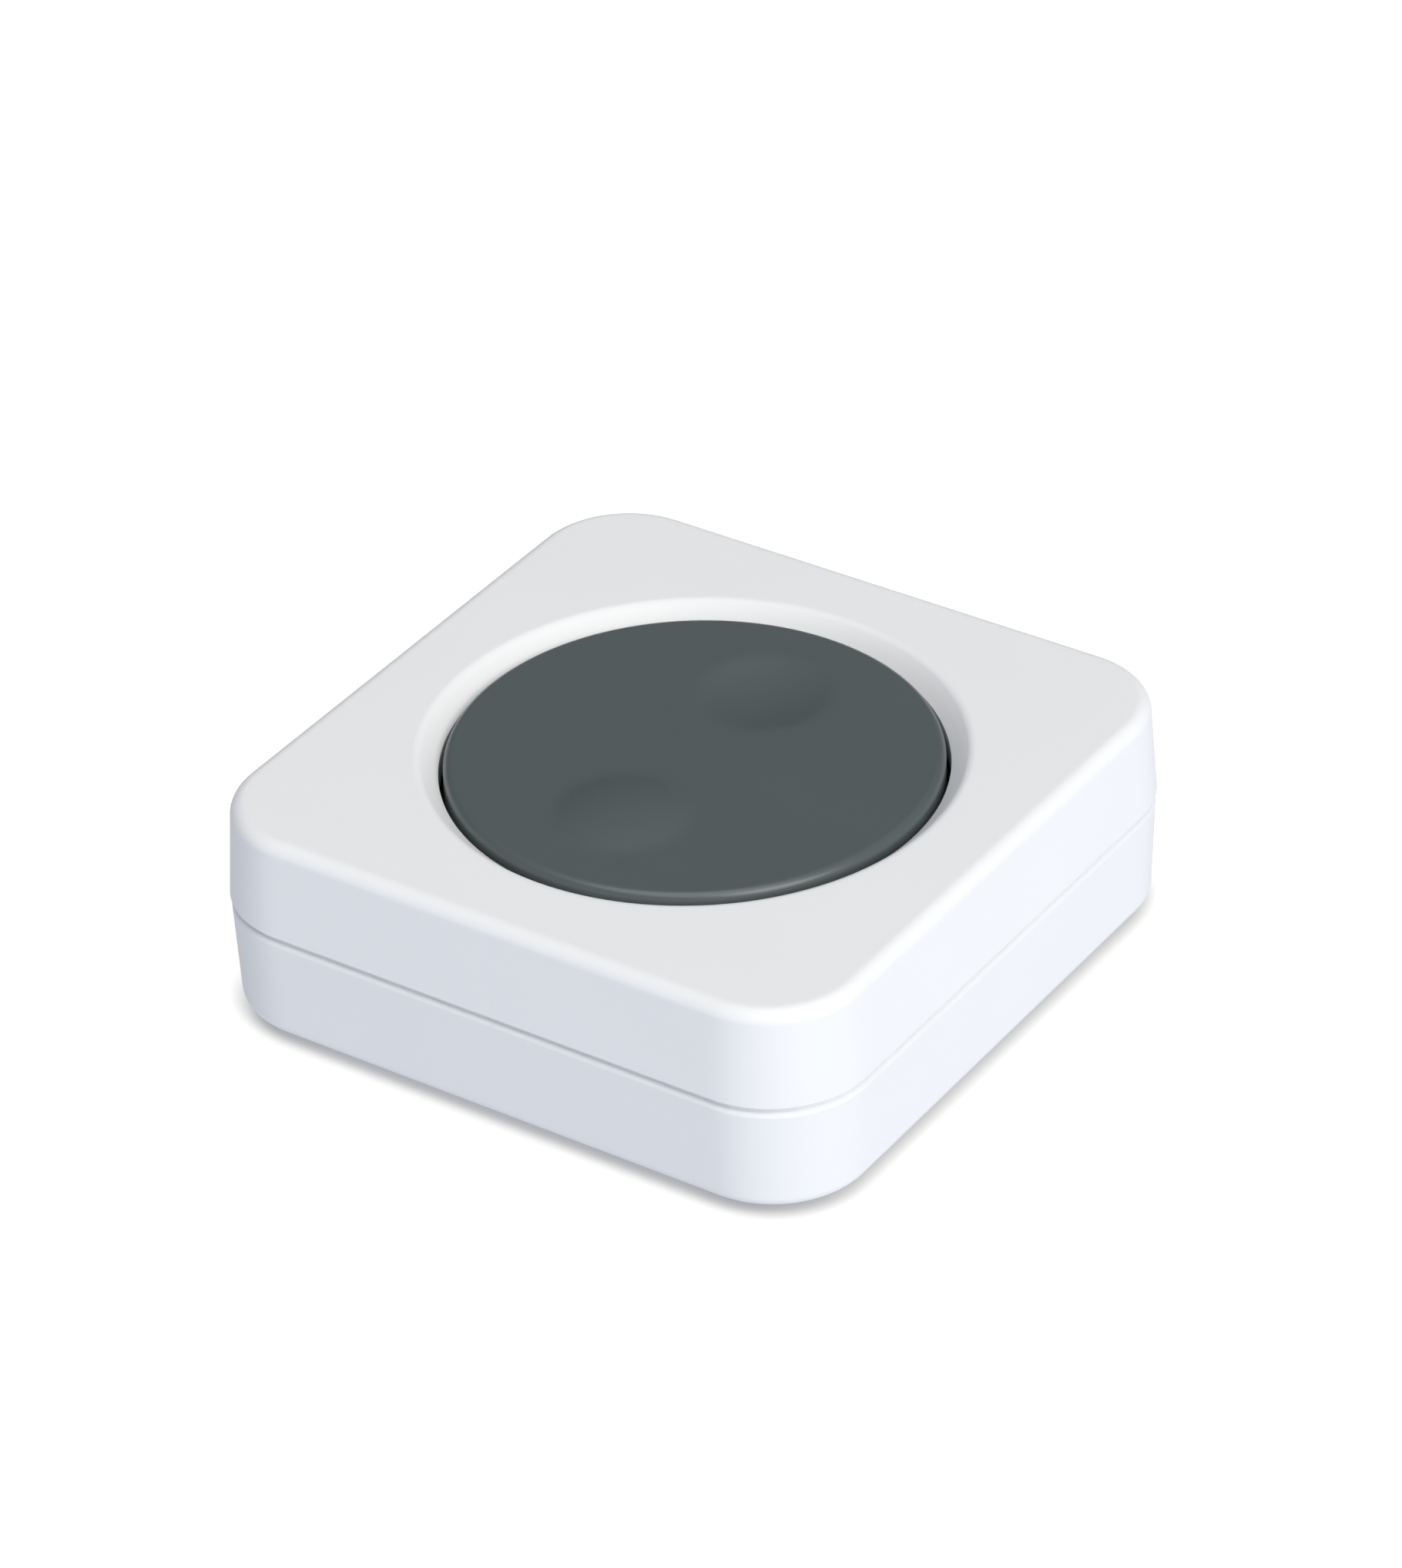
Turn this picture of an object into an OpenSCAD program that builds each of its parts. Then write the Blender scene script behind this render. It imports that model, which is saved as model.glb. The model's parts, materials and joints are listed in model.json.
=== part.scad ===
// Smart button: a rounded-square two-part case with a rocking disc over two switches.
// Millimetres, +Z up, origin at the middle of the face that the button rests on.

/* [Case] */
// Width of the case at the seam
case_w = 60; // [56:0.5:72]
// Radius of the case's upright corners at the seam
corner_r = 8.8; // [7:0.1:12]
// Height of the middle of the seam above the rest face
seam_z = 10.7; // [9.5:0.1:12]
// Height of the shadow gap at the seam
seam_gap = 0.6; // [0.3:0.05:0.8]
// Depth of the shadow gap at the seam
seam_depth = 0.5; // [0.5:0.05:0.8]
// How much each side of the cover leans in between the seam and the top
cover_draft = 0.5; // [0.2:0.05:1]
// How much each side of the base leans in between the seam and the bottom
base_taper = 0.3; // [0.1:0.05:0.8]
// How far the base's upper rim stands back from the cover
base_step = 0.1; // [0:0.05:0.3]
// Radius round the top edge of the cover
top_edge_r = 1.25; // [0.8:0.05:3]
// Radius round the bottom edge of the base
bottom_edge_r = 1; // [0.6:0.1:2.5]
// Radius of the base's upper rim
base_rim_r = 0.4; // [0.2:0.05:0.4]
// Thickness of the side walls at the seam
wall_t = 2.2; // [2:0.1:3]
// Thickness of the cover's top plate
top_t = 2; // [1.6:0.1:3]
// Thickness of the base's floor
floor_t = 1.8; // [1.6:0.1:2.6]
// Height of the base's lip inside the cover
lip_h = 2.2; // [1.2:0.1:3]
// Thickness of the base's lip
lip_t = 1.05; // [0.8:0.05:1.2]
// Gap between the lip and the cover
lip_gap = 0.15; // [0.1:0.05:0.3]

/* [Rocker disc] */
// Diameter of the disc
disc_d = 41.2; // [38:0.1:43]
// Thickness of the disc's plate
disc_t = 1.7; // [1.2:0.1:2.5]
// How far the disc lies below the top of the cover
disc_drop = 0.5; // [0.2:0.05:1.5]
// Radius round the disc's rim
disc_edge_r = 0.75; // [0.3:0.05:1]
// Thickness of the disc's skirt
skirt_t = 1.2; // [0.8:0.1:1.8]
// Depth of the skirt below the disc's plate
skirt_h = 1.7; // [1:0.1:2]
// Gap between the disc and the hole in the cover
hole_gap = 0.4; // [0.3:0.05:0.9]
// Width of the flare round the hole
hole_flare = 2.05; // [1.6:0.05:2.4]
// Slope of the flare, in degrees from level
hole_slope = 45; // [35:1:60]
// Radius where the flare meets the top of the cover
hole_edge_r = 1.05; // [0.6:0.05:1.4]
// Depth of the collar round the hole, from the top of the cover
collar_h = 3.8; // [2.5:0.1:4.2]
// Distance of each touch mark, and of the switch below it, from the middle
mark_y = 10.5; // [9.5:0.1:12]
// Diameter of the raised touch mark
bump_d = 11; // [8:0.5:13]
// Height of the raised touch mark
bump_h = 0.75; // [0.2:0.05:0.9]
// Diameter of the sunken touch mark
dimple_d = 11; // [8:0.5:13]
// Depth of the sunken touch mark
dimple_h = 0.75; // [0.2:0.05:0.9]

/* [Pivot] */
// Diameter of the pivot pins
pin_d = 1.5; // [1.2:0.1:1.8]
// Running clearance round the pins in the frame, on the radius
pin_play = 0.04; // [0.02:0.01:0.08]
// Radius of the ears that hold the pins
ear_r = 1.5; // [1.3:0.1:1.8]
// Thickness of the disc's ears
ear_t = 3; // [2:0.1:4]
// Thickness of the frame's lugs
lug_t = 2.5; // [2:0.1:3]
// Radius of the lugs round the pins
lug_r = 1.4; // [1.2:0.1:1.5]
// Side play between an ear and its lug
ear_play = 0.3; // [0.1:0.05:0.5]
// Distance between a lug and the disc's skirt
lug_inset = 1.95; // [1:0.05:3]
// Distance of the pivot below the disc's plate
pivot_drop = 1.6; // [1.55:0.05:2.2]
// Room between an ear and the frame's plate
ear_room = 0.2; // [0.15:0.05:0.5]

/* [Rocker frame] */
// Thickness of the frame's plate
frame_t = 1; // [1:0.1:2]
// Gap between the frame and the case walls
frame_gap = 1.6; // [1:0.1:2]
// Length of the standoffs between the frame and the board
standoff_h = 2.4; // [2.3:0.1:3.4]
// Diameter of the standoffs
standoff_d = 5; // [4:0.1:6]
// Room round each switch in the frame
window_gap = 0.75; // [0.4:0.05:1]

/* [Switches] */
// Width of a switch housing
switch_w = 6; // [5.5:0.1:7]
// Height of a switch housing
switch_h = 3.5; // [3.3:0.1:3.7]
// Height of a switch with its plunger
switch_total = 5; // [4.8:0.1:5.4]
// Thickness of the steel cover
switch_cover_t = 0.2; // [0.15:0.05:0.3]
// Diameter of the plunger
plunger_d = 3.5; // [3:0.1:3.8]
// Clearance round the plunger in the steel cover, on the radius
plunger_play = 0.05; // [0.03:0.01:0.1]
// Gap between the disc's post and the plunger
post_gap = 0.06; // [0.05:0.01:0.15]
// Diameter of the disc's posts
post_d = 3; // [2:0.1:3.4]

/* [Board] */
// Thickness of the circuit board
board_t = 1.2; // [1:0.1:2]
// Gap between the board and the lip
board_gap = 1.8; // [1:0.1:3]
// Length of the radio module
module_l = 16; // [14:0.5:16.5]
// Width of the radio module
module_w = 11; // [9:0.5:12]
// Thickness of the radio module's board
module_t = 0.8; // [0.6:0.1:1]
// Height of the shield can
shield_h = 1.4; // [1:0.1:1.5]

/* [Battery] */
// Diameter of the coin cell
cell_d = 24.5; // [20:0.5:25]
// Height of the coin cell
cell_h = 5; // [3:0.1:6]
// Gap between the coin cell and the bay that holds it
cell_gap = 0.4; // [0.2:0.05:0.6]
// Room for the spring contact above the coin cell
contact_room = 0.9; // [0.6:0.05:1.5]
// Thickness of the contact sheet
contact_t = 0.25; // [0.15:0.05:0.3]
// Thickness of the battery bay's wall
bay_t = 1.4; // [1:0.1:2]
// Gap round the battery door
door_gap = 0.2; // [0.1:0.05:0.4]
// Width of the ledge under the door's flange
door_ledge = 3; // [2.5:0.1:4]
// Thickness of the door's flange
flange_t = 0.75; // [0.6:0.05:0.9]
// How far the door's bayonet tabs reach past the hole
tab_reach = 1.65; // [1:0.05:2]
// Thickness of the door's bayonet tabs
tab_t = 0.85; // [0.6:0.05:1.2]
// Angle that the door turns through
door_turn = 30; // [20:1:32]
// Width of the coin slot
slot_w = 2.2; // [1.8:0.1:3]
// Length of the coin slot
slot_l = 15; // [10:0.5:18]

/* [Fasteners and feet] */
// Diameter of the case screws
case_screw_d = 2.2; // [1.8:0.1:2.4]
// Length of the case screws below the head
case_screw_l = 12; // [9:0.5:13]
// Diameter of the frame and board screws
small_screw_d = 1.8; // [1.4:0.1:2]
// Diameter of the case bosses
boss_d = 6.4; // [5.6:0.1:7]
// Distance of the case screws from the sides of the case
boss_inset = 8; // [7.5:0.1:9]
// Diameter of the rubber feet
foot_d = 8; // [6:0.1:9]
// Depth of the pockets for the feet
foot_pocket = 0.6; // [0.4:0.05:0.8]
// How far the feet stand proud of the base
foot_proud = 1; // [0.2:0.05:1.2]

/* [Hidden] */
$fn = 64;

// Small overrun that carries a cut past a face
over = 1;
// Clearance where two pieces seat on each other
seat = 0.05;
// Clearance round a screw where it is threaded in, on the radius
thread_play = 0.02;
// Clearance round a screw where it passes through, on the radius
screw_play = 0.15;

// Heights, from the rest face upwards
base_z = foot_proud;
floor_z = base_z + floor_t;
tab_z = floor_z + seat;
cell_z = tab_z + tab_t + seat;
cell_top = cell_z + cell_h;
board_z = cell_top + contact_room;
board_top = board_z + board_t;
frame_z = board_top + standoff_h;
frame_top = frame_z + frame_t;
pivot_z = frame_top + ear_room + ear_r;
disc_z = pivot_z + pivot_drop;
disc_top = disc_z + disc_t;
case_top = disc_top + disc_drop;
roof_z = case_top - top_t;
cover_z = seam_z + seam_gap / 2;
rim_z = seam_z - seam_gap / 2;
lip_top = rim_z + lip_h;
plunger_top = board_top + switch_total;

// Widths in plan, as half widths; every rounded square shares the same corner centres
half_w = case_w / 2;
corner_c = half_w - corner_r;
inner_half = half_w - wall_t;
lip_half = inner_half + lip_t;
board_half = inner_half - board_gap;
frame_half = inner_half - frame_gap;
boss_c = half_w - boss_inset;

// Radii about the middle axis
// Flat ring outside the hole's flare that belongs to the collar
collar_land = 0.5;
// Step between the bay and the hole that the cell passes through
door_hole_step = 0.1;
disc_r = disc_d / 2;
skirt_r = disc_r - skirt_t;
hole_r = disc_r + hole_gap;
collar_r = hole_r + hole_flare + collar_land;
cell_r = cell_d / 2;
bay_r = cell_r + cell_gap;
door_hole_r = bay_r + door_hole_step;
hub_r = door_hole_r - door_gap;
tab_r = door_hole_r + tab_reach;
recess_r = door_hole_r + door_ledge;

// Corners cut off the board and the frame, clear of the case bosses
boss_clear = 1;
chamfer_sum = 2 * boss_c - sqrt(2) * (boss_d / 2 + boss_clear);

// Screw places
// Distance between the hole and the frame's bosses
frame_boss_gap = 0.45;
// Direction of a frame screw from the middle, between the case bosses
frame_screw_turn = 65;
frame_screw_r = hole_r + frame_boss_gap + standoff_d / 2;
frame_screw_x = frame_screw_r * cos(frame_screw_turn);
frame_screw_y = frame_screw_r * sin(frame_screw_turn);
// Strip of board outside the standoffs
board_edge = 2;
board_screw_x = board_half - board_edge - standoff_d / 2;
board_screw_y = 8;
// How much wider than its screw a head is
small_head_over = 1.6;
case_head_over = 1.7;
small_head_d = small_screw_d + small_head_over;
small_head_h = 1.1;
case_head_d = case_screw_d + case_head_over;
case_head_h = 1.4;
// Width of the cross recess in a screw head
recess_w = 0.5;
frame_screw_l = 4;
screw_end = 0.4;
board_screw_l = board_t + standoff_h - screw_end;
// Face that the heads of the case screws bear on
case_seat_z = base_z + foot_pocket + case_head_h + screw_end;
// Height at which the bosses of the base and the cover meet, just below the seam
boss_drop = 1;
boss_z = seam_z - boss_drop;
case_pilot_h = case_seat_z + case_screw_l - boss_z + over;
// Chamfer round the bottom of the feet
foot_edge = 0.2;

// Places of the pivot along X
lug_out = skirt_r - lug_inset;
lug_in = lug_out - lug_t;
ear_out = lug_in - ear_play;
ear_in = ear_out - ear_t;

// Battery door: bayonet tabs, their angle and the angle left free on each side
tab_count = 3;
tab_angle = 22;
tab_margin = 4;
// Middle of the first tab when the door is shut
tab_start = 90 + door_turn / 2;
// Sector that one tab sweeps as the door turns
sweep_angle = tab_angle + door_turn + 2 * tab_margin;
// Height of the bay's walls below the top of the cell
bay_drop = 0.5;
bay_h = cell_top - floor_z - bay_drop;

// Colours of the finishes
white_plastic = "whitesmoke";
dark_plastic = "#555b5d";
black_plastic = "#26282a";
steel = "silver";
board_green = "#1f5a3a";
gold = "#c9a24a";
rubber = "#3a3a3a";

// General shapes

// Copies a child to the four places (+-x, +-y)
module four(x, y) {
    for (sx = [-1, 1], sy = [-1, 1]) {
        translate([sx * x, sy * y, 0]) children();
    }
}

// Copies a child to the two switches, at the front and at the rear
module both_switches() {
    for (side = [-1, 1]) {
        translate([0, side * mark_y, board_top]) children();
    }
}

// Quarter of a disc of radius r about c, on the side that the signs of dir give
module quarter_round(c, r, dir) {
    intersection() {
        translate(c) circle(r);
        translate([c[0] + min(0, dir[0]) * (r + over), c[1] + min(0, dir[1]) * (r + over)]) square(r + over);
    }
}

// Square with the case's corner centres and the given half width
module rounded_square(half) {
    r = half - corner_c;
    square([2 * half, 2 * corner_c], center = true);
    square([2 * corner_c, 2 * half], center = true);
    for (turn = [0:90:270]) {
        rotate(turn) translate([corner_c, corner_c]) {
            intersection() {
                circle(r);
                square(r + over);
            }
        }
    }
}

// Upright block with the plan of rounded_square
module rounded_block(half, z0, z1) {
    translate([0, 0, z0]) linear_extrude(z1 - z0) rounded_square(half);
}

// Solid of a side profile carried round the case; the profile's x is measured from the corner centres
module carried_round(z0, z1) {
    translate([-corner_c, -corner_c, z0]) cube([2 * corner_c, 2 * corner_c, z1 - z0]);
    for (turn = [0:90:270]) {
        rotate([0, 0, turn]) {
            translate([corner_c, 0, 0]) {
                rotate([90, 0, 0]) linear_extrude(2 * corner_c, center = true) children();
            }
            translate([corner_c, corner_c, 0]) rotate_extrude(angle = 90) children();
        }
    }
}

// Hollow upright cylinder
module tube(d_out, d_in, h) {
    difference() {
        cylinder(h = h, d = d_out);
        translate([0, 0, -over]) cylinder(h = h + 2 * over, d = d_in);
    }
}

// Pan-head screw pointing up, its head below z = 0, with a cross recess
module screw(d, l, head_d, head_h) {
    difference() {
        union() {
            cylinder(h = l, d = d);
            translate([0, 0, -head_h]) cylinder(h = head_h, d = head_d);
        }
        for (turn = [0, 90]) {
            rotate(turn) translate([-0.3 * head_d, -recess_w / 2, -head_h - over]) {
                cube([0.6 * head_d, recess_w, over + 0.5 * head_h]);
            }
        }
    }
}

// Square board with its corners cut off
module cut_square(half, sum) {
    e = sum - half;
    polygon([[half, -e], [half, e], [e, half], [-e, half], [-half, e], [-half, -e], [-e, -half], [e, -half]]);
}

// Case

// Side profile of the cover: leaning wall and rounded top edge
module cover_profile() {
    x = corner_r - cover_draft;
    c = [x - top_edge_r, case_top - top_edge_r];
    polygon([[0, cover_z], [corner_r, cover_z], [x, c[1]], c, [c[0], case_top], [0, case_top]]);
    quarter_round(c, top_edge_r, [1, 1]);
}

// Side profile of the base below the shadow gap: leaning wall, rounded above and below
module base_profile() {
    rim_x = corner_r - base_step;
    low_x = rim_x - base_taper;
    up = [rim_x - base_rim_r, rim_z - base_rim_r];
    low = [low_x - bottom_edge_r, base_z + bottom_edge_r];
    polygon([[0, base_z], [low[0], base_z], low, [low_x, low[1]], [rim_x, up[1]], up, [up[0], rim_z], [0, rim_z]]);
    quarter_round(up, base_rim_r, [1, 1]);
    quarter_round(low, bottom_edge_r, [1, -1]);
}

// Profile of the collar round the hole: upright wall, sloping flare and rounded upper edge
module collar_profile() {
    c = [hole_r + hole_flare, case_top - hole_edge_r];
    t = [c[0] - hole_edge_r * sin(hole_slope), c[1] + hole_edge_r * cos(hole_slope)];
    flare_z = t[1] - (t[0] - hole_r) * tan(hole_slope);
    low = case_top - collar_h;
    polygon([[hole_r, low], [collar_r, low], [collar_r, case_top], [c[0], case_top], c, t, [hole_r, flare_z]]);
    intersection() {
        quarter_round(c, hole_edge_r, [-1, 1]);
        polygon([c, [c[0], case_top + over], [t[0] - over, case_top + over], t]);
    }
}

// Outer skin of the cover, open below and in the middle of the top
module cover_skin() {
    difference() {
        carried_round(cover_z, case_top) cover_profile();
        rounded_block(inner_half, cover_z - over, roof_z);
        rounded_block(lip_half + lip_gap, cover_z - over, lip_top + 2 * lip_gap);
        cylinder(h = case_top + over, r = collar_r);
    }
}

module top_cover() {
    color(white_plastic) difference() {
        union() {
            cover_skin();
            rotate_extrude() collar_profile();
            four(boss_c, boss_c) {
                translate([0, 0, boss_z + seat]) cylinder(h = roof_z - boss_z, d = boss_d);
            }
            difference() {
                four(frame_screw_x, frame_screw_y) {
                    translate([0, 0, frame_top]) cylinder(h = roof_z - frame_top + seat, d = standoff_d);
                }
                cylinder(h = case_top, r = hole_r + seat);
            }
        }
        four(boss_c, boss_c) {
            translate([0, 0, boss_z - over]) {
                cylinder(h = case_pilot_h + over, d = case_screw_d + 2 * thread_play);
            }
        }
        four(frame_screw_x, frame_screw_y) {
            translate([0, 0, frame_top - over]) {
                cylinder(h = over + frame_screw_l - frame_t + screw_end, d = small_screw_d + 2 * thread_play);
            }
        }
    }
}

// Walls of the battery bay, between the sectors that the door's tabs sweep
module bay_walls() {
    arc = 360 / tab_count - sweep_angle;
    for (i = [0:tab_count - 1]) {
        rotate(90 + sweep_angle / 2 + i * 360 / tab_count) translate([0, 0, floor_z - seat]) {
            rotate_extrude(angle = arc) translate([bay_r, 0]) square([bay_t, bay_h]);
        }
    }
}

// Opening for the battery door: recess, round hole and three notches for the tabs
module door_opening() {
    translate([0, 0, base_z - over]) cylinder(h = over + flange_t + 2 * seat, r = recess_r);
    translate([0, 0, base_z - over]) cylinder(h = floor_t + 2 * over, r = door_hole_r);
    notch_angle = tab_angle + tab_margin;
    for (i = [0:tab_count - 1]) {
        rotate(tab_start - door_turn - notch_angle / 2 + i * 360 / tab_count) translate([0, 0, base_z]) {
            rotate_extrude(angle = notch_angle) square([tab_r + door_gap, floor_t + over]);
        }
    }
}

module base_shell() {
    color(white_plastic) {
        difference() {
            union() {
                carried_round(base_z, rim_z) base_profile();
                rounded_block(half_w - seam_depth, rim_z - over, cover_z - seat);
                rounded_block(lip_half, rim_z - over, lip_top);
            }
            difference() {
                rounded_block(inner_half, floor_z, lip_top + over);
                four(boss_c, boss_c) {
                    translate([0, 0, floor_z - over]) cylinder(h = boss_z - floor_z + over, d = boss_d);
                }
            }
            door_opening();
            four(boss_c, boss_c) {
                translate([0, 0, base_z - over]) {
                    cylinder(h = over + foot_pocket, d = foot_d + 2 * door_gap);
                    cylinder(h = over + case_seat_z - base_z, d = case_head_d + 2 * screw_play);
                    cylinder(h = 2 * over + boss_z - base_z, d = case_screw_d + 2 * screw_play);
                }
            }
        }
        bay_walls();
    }
}

module rubber_feet() {
    color(rubber) four(boss_c, boss_c) {
        rotate_extrude() {
            polygon([[0, 0], [foot_d / 2 - foot_edge, 0], [foot_d / 2, foot_edge],
                [foot_d / 2, foot_proud + foot_pocket], [0, foot_proud + foot_pocket]]);
        }
    }
}

module case_screws() {
    color(steel) four(boss_c, boss_c) {
        translate([0, 0, case_seat_z]) screw(case_screw_d, case_screw_l, case_head_d, case_head_h);
    }
}

// Rocker

// Side profile of the disc: plate, skirt and rounded rim
module disc_profile() {
    c = [disc_r - disc_edge_r, disc_top - disc_edge_r];
    skirt_z = disc_z - skirt_h;
    polygon([[0, disc_z], [skirt_r, disc_z], [skirt_r, skirt_z], [disc_r, skirt_z], [disc_r, c[1]], c,
        [c[0], disc_top], [0, disc_top]]);
    quarter_round(c, disc_edge_r, [1, 1]);
}

// Radius of the sphere that makes a cap of diameter d and height h
function cap_sphere(d, h) = (d * d / 4 + h * h) / (2 * h);

// Ear under the disc with its pin hole, along X
module disc_ear() {
    translate([ear_in, 0, pivot_z]) rotate([90, 0, 90]) difference() {
        union() {
            cylinder(h = ear_t, r = ear_r);
            translate([-ear_r, 0, 0]) cube([2 * ear_r, pivot_drop + seat, ear_t]);
        }
        translate([0, 0, -over]) cylinder(h = ear_t + 2 * over, d = pin_d + 2 * thread_play);
    }
}

module rocker_disc() {
    bump_r = cap_sphere(bump_d, bump_h);
    dimple_r = cap_sphere(dimple_d, dimple_h);
    color(dark_plastic) {
        difference() {
            rotate_extrude() disc_profile();
            translate([0, mark_y, disc_top - dimple_h + dimple_r]) sphere(dimple_r, $fn = 200);
        }
        intersection() {
            translate([0, -mark_y, disc_top + bump_h - bump_r]) sphere(bump_r, $fn = 200);
            translate([0, -mark_y, disc_top - disc_t / 2]) cylinder(h = disc_t, d = bump_d);
        }
        for (side = [0, 180]) {
            rotate(side) {
                disc_ear();
                translate([0, mark_y, plunger_top + post_gap]) {
                    cylinder(h = disc_z - plunger_top - post_gap + seat, d = post_d);
                }
            }
        }
    }
}

module pivot_pins() {
    color(steel) for (side = [0, 180]) {
        rotate(side) translate([ear_in, 0, pivot_z]) rotate([0, 90, 0]) {
            cylinder(h = lug_out - ear_in, d = pin_d);
        }
    }
}

// Upright lug on the frame with its pin hole, along X
module frame_lug() {
    translate([lug_in, 0, pivot_z]) rotate([90, 0, 90]) difference() {
        union() {
            cylinder(h = lug_t, r = lug_r);
            translate([-lug_r, frame_top - pivot_z - frame_t / 2, 0]) {
                cube([2 * lug_r, pivot_z - frame_top + frame_t / 2, lug_t]);
            }
        }
        translate([0, 0, -over]) cylinder(h = lug_t + 2 * over, d = pin_d + 2 * pin_play);
    }
}

module rocker_frame() {
    window = switch_w + 2 * window_gap;
    color(black_plastic) {
        difference() {
            translate([0, 0, frame_z]) linear_extrude(frame_t) cut_square(frame_half, chamfer_sum);
            for (side = [-1, 1]) {
                translate([-window / 2, side * mark_y - window / 2, frame_z - over]) {
                    cube([window, window, frame_t + 2 * over]);
                }
            }
            four(frame_screw_x, frame_screw_y) {
                cylinder(h = case_top, d = small_screw_d + 2 * screw_play);
            }
        }
        for (side = [0, 180]) {
            rotate(side) frame_lug();
        }
        four(board_screw_x, board_screw_y) {
            translate([0, 0, board_top]) tube(standoff_d, small_screw_d + 2 * thread_play, standoff_h + seat);
        }
    }
}

module frame_screws() {
    color(steel) four(frame_screw_x, frame_screw_y) {
        translate([0, 0, frame_z]) screw(small_screw_d, frame_screw_l, small_head_d, small_head_h);
    }
}

// Board and what sits on it

module circuit_board() {
    color(board_green) difference() {
        translate([0, 0, board_z]) linear_extrude(board_t) cut_square(board_half, chamfer_sum);
        four(board_screw_x, board_screw_y) {
            translate([0, 0, board_z - over]) {
                cylinder(h = board_t + 2 * over, d = small_screw_d + 2 * screw_play);
            }
        }
    }
}

module board_screws() {
    color(steel) four(board_screw_x, board_screw_y) {
        translate([0, 0, board_z]) screw(small_screw_d, board_screw_l, small_head_d, small_head_h);
    }
}

// Inside of a switch: heights above the board
dome_z = 0.7;
dome_h = 0.55;
dome_t = 0.15;
// Thickness of the housing's wall round the well
well_wall = 0.6;
well_d = switch_w - 2 * well_wall;
// Clearance round the plunger's flange in the well, on the radius
flange_play = 0.2;
flange_d = well_d - 2 * flange_play;
// Room between the dome and the plunger
dome_room = 0.35;
stem_z = dome_z + dome_h + dome_room;
flange_h = 0.7;
// Length of the hooks that hold the steel cover
hook_h = 1.6;
// Soldered legs of a switch
leg_w = 0.7;
leg_t = 0.25;
leg_l = 1.3;
leg_h = 1;

module switch_housings() {
    color(black_plastic) both_switches() {
        difference() {
            translate([-switch_w / 2, -switch_w / 2, 0]) {
                cube([switch_w, switch_w, switch_h - switch_cover_t]);
            }
            translate([0, 0, dome_z]) cylinder(h = switch_h, d = well_d);
        }
    }
}

module switch_covers() {
    color(steel) both_switches() {
        translate([0, 0, switch_h - switch_cover_t]) difference() {
            translate([-switch_w / 2, -switch_w / 2, 0]) cube([switch_w, switch_w, switch_cover_t]);
            translate([0, 0, -over]) {
                cylinder(h = switch_cover_t + 2 * over, d = plunger_d + 2 * plunger_play);
            }
        }
        for (side = [0, 180]) {
            rotate(side) translate([-switch_w / 4, switch_w / 2, switch_h - hook_h]) {
                cube([switch_w / 2, switch_cover_t, hook_h]);
            }
            rotate(side) translate([-switch_w / 4, switch_w / 2 - seat, switch_h - switch_cover_t]) {
                cube([switch_w / 2, 2 * seat, switch_cover_t]);
            }
        }
    }
}

module switch_domes() {
    outer_r = cap_sphere(flange_d, dome_h);
    color(steel) both_switches() {
        intersection() {
            difference() {
                translate([0, 0, dome_z + dome_h - outer_r]) sphere(outer_r, $fn = 96);
                translate([0, 0, dome_z + dome_h - outer_r]) sphere(outer_r - dome_t, $fn = 96);
            }
            translate([0, 0, dome_z]) cylinder(h = dome_h + over, d = flange_d);
        }
    }
}

module switch_terminals() {
    leg_pitch = 0.75 * switch_w;
    color(steel) both_switches() {
        for (side = [0, 180], place = [-1, 1]) {
            rotate(side) translate([switch_w / 2, place * leg_pitch / 2 + leg_w / 2, 0]) {
                rotate([90, 0, 0]) linear_extrude(leg_w) {
                    polygon([[0, 0], [leg_l, 0], [leg_l, leg_t], [leg_t, leg_t], [leg_t, leg_h], [0, leg_h]]);
                }
            }
        }
    }
}

// Plunger of a switch, with the flange that keeps it in
module plunger() {
    translate([0, 0, stem_z]) cylinder(h = flange_h, d = flange_d);
    translate([0, 0, stem_z]) cylinder(h = switch_total - stem_z, d = plunger_d);
}

module front_plunger() {
    color(black_plastic) translate([0, -mark_y, board_top]) plunger();
}

module rear_plunger() {
    color(black_plastic) translate([0, mark_y, board_top]) plunger();
}

// Left end of the radio module, clear of the standoffs
module_gap = 0.5;
module_x = -(board_screw_x - standoff_d / 2 - module_gap);
antenna_room = 4;
shield_inset = 0.8;
shield_t = 0.2;
antenna_l = 5;
antenna_w = 1.6;
antenna_h = 1.1;

module radio_module() {
    color(board_green) translate([module_x, -module_w / 2, board_top]) cube([module_l, module_w, module_t]);
}

module shield_can() {
    can_l = module_l - antenna_room - shield_inset;
    can_w = module_w - 2 * shield_inset;
    color(steel) translate([module_x + antenna_room, -can_w / 2, board_top + module_t]) difference() {
        cube([can_l, can_w, shield_h]);
        translate([shield_t, shield_t, -over]) {
            cube([can_l - 2 * shield_t, can_w - 2 * shield_t, shield_h - shield_t + over]);
        }
    }
}

module chip_antenna() {
    antenna_x = module_x + (antenna_room - antenna_w) / 2;
    color("lightgrey") translate([antenna_x, -antenna_l / 2, board_top + module_t]) {
        cube([antenna_w, antenna_l, antenna_h]);
    }
}

// Small parts at the right of the board, between the standoffs
chips_x = 9;
// Power chip and its legs
chip_l = 5;
chip_w = 4;
chip_h = 1.4;
chip_leg_w = 0.4;
chip_leg_l = 0.3;
chip_leg_h = 0.5;
chip_leg_pitch = 1.1;
chip_legs = 4;
// Clock crystal, and its distance from the chip
crystal_gap = 3;
crystal_l = 2.5;
crystal_w = 3.2;
crystal_h = 0.9;
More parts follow.
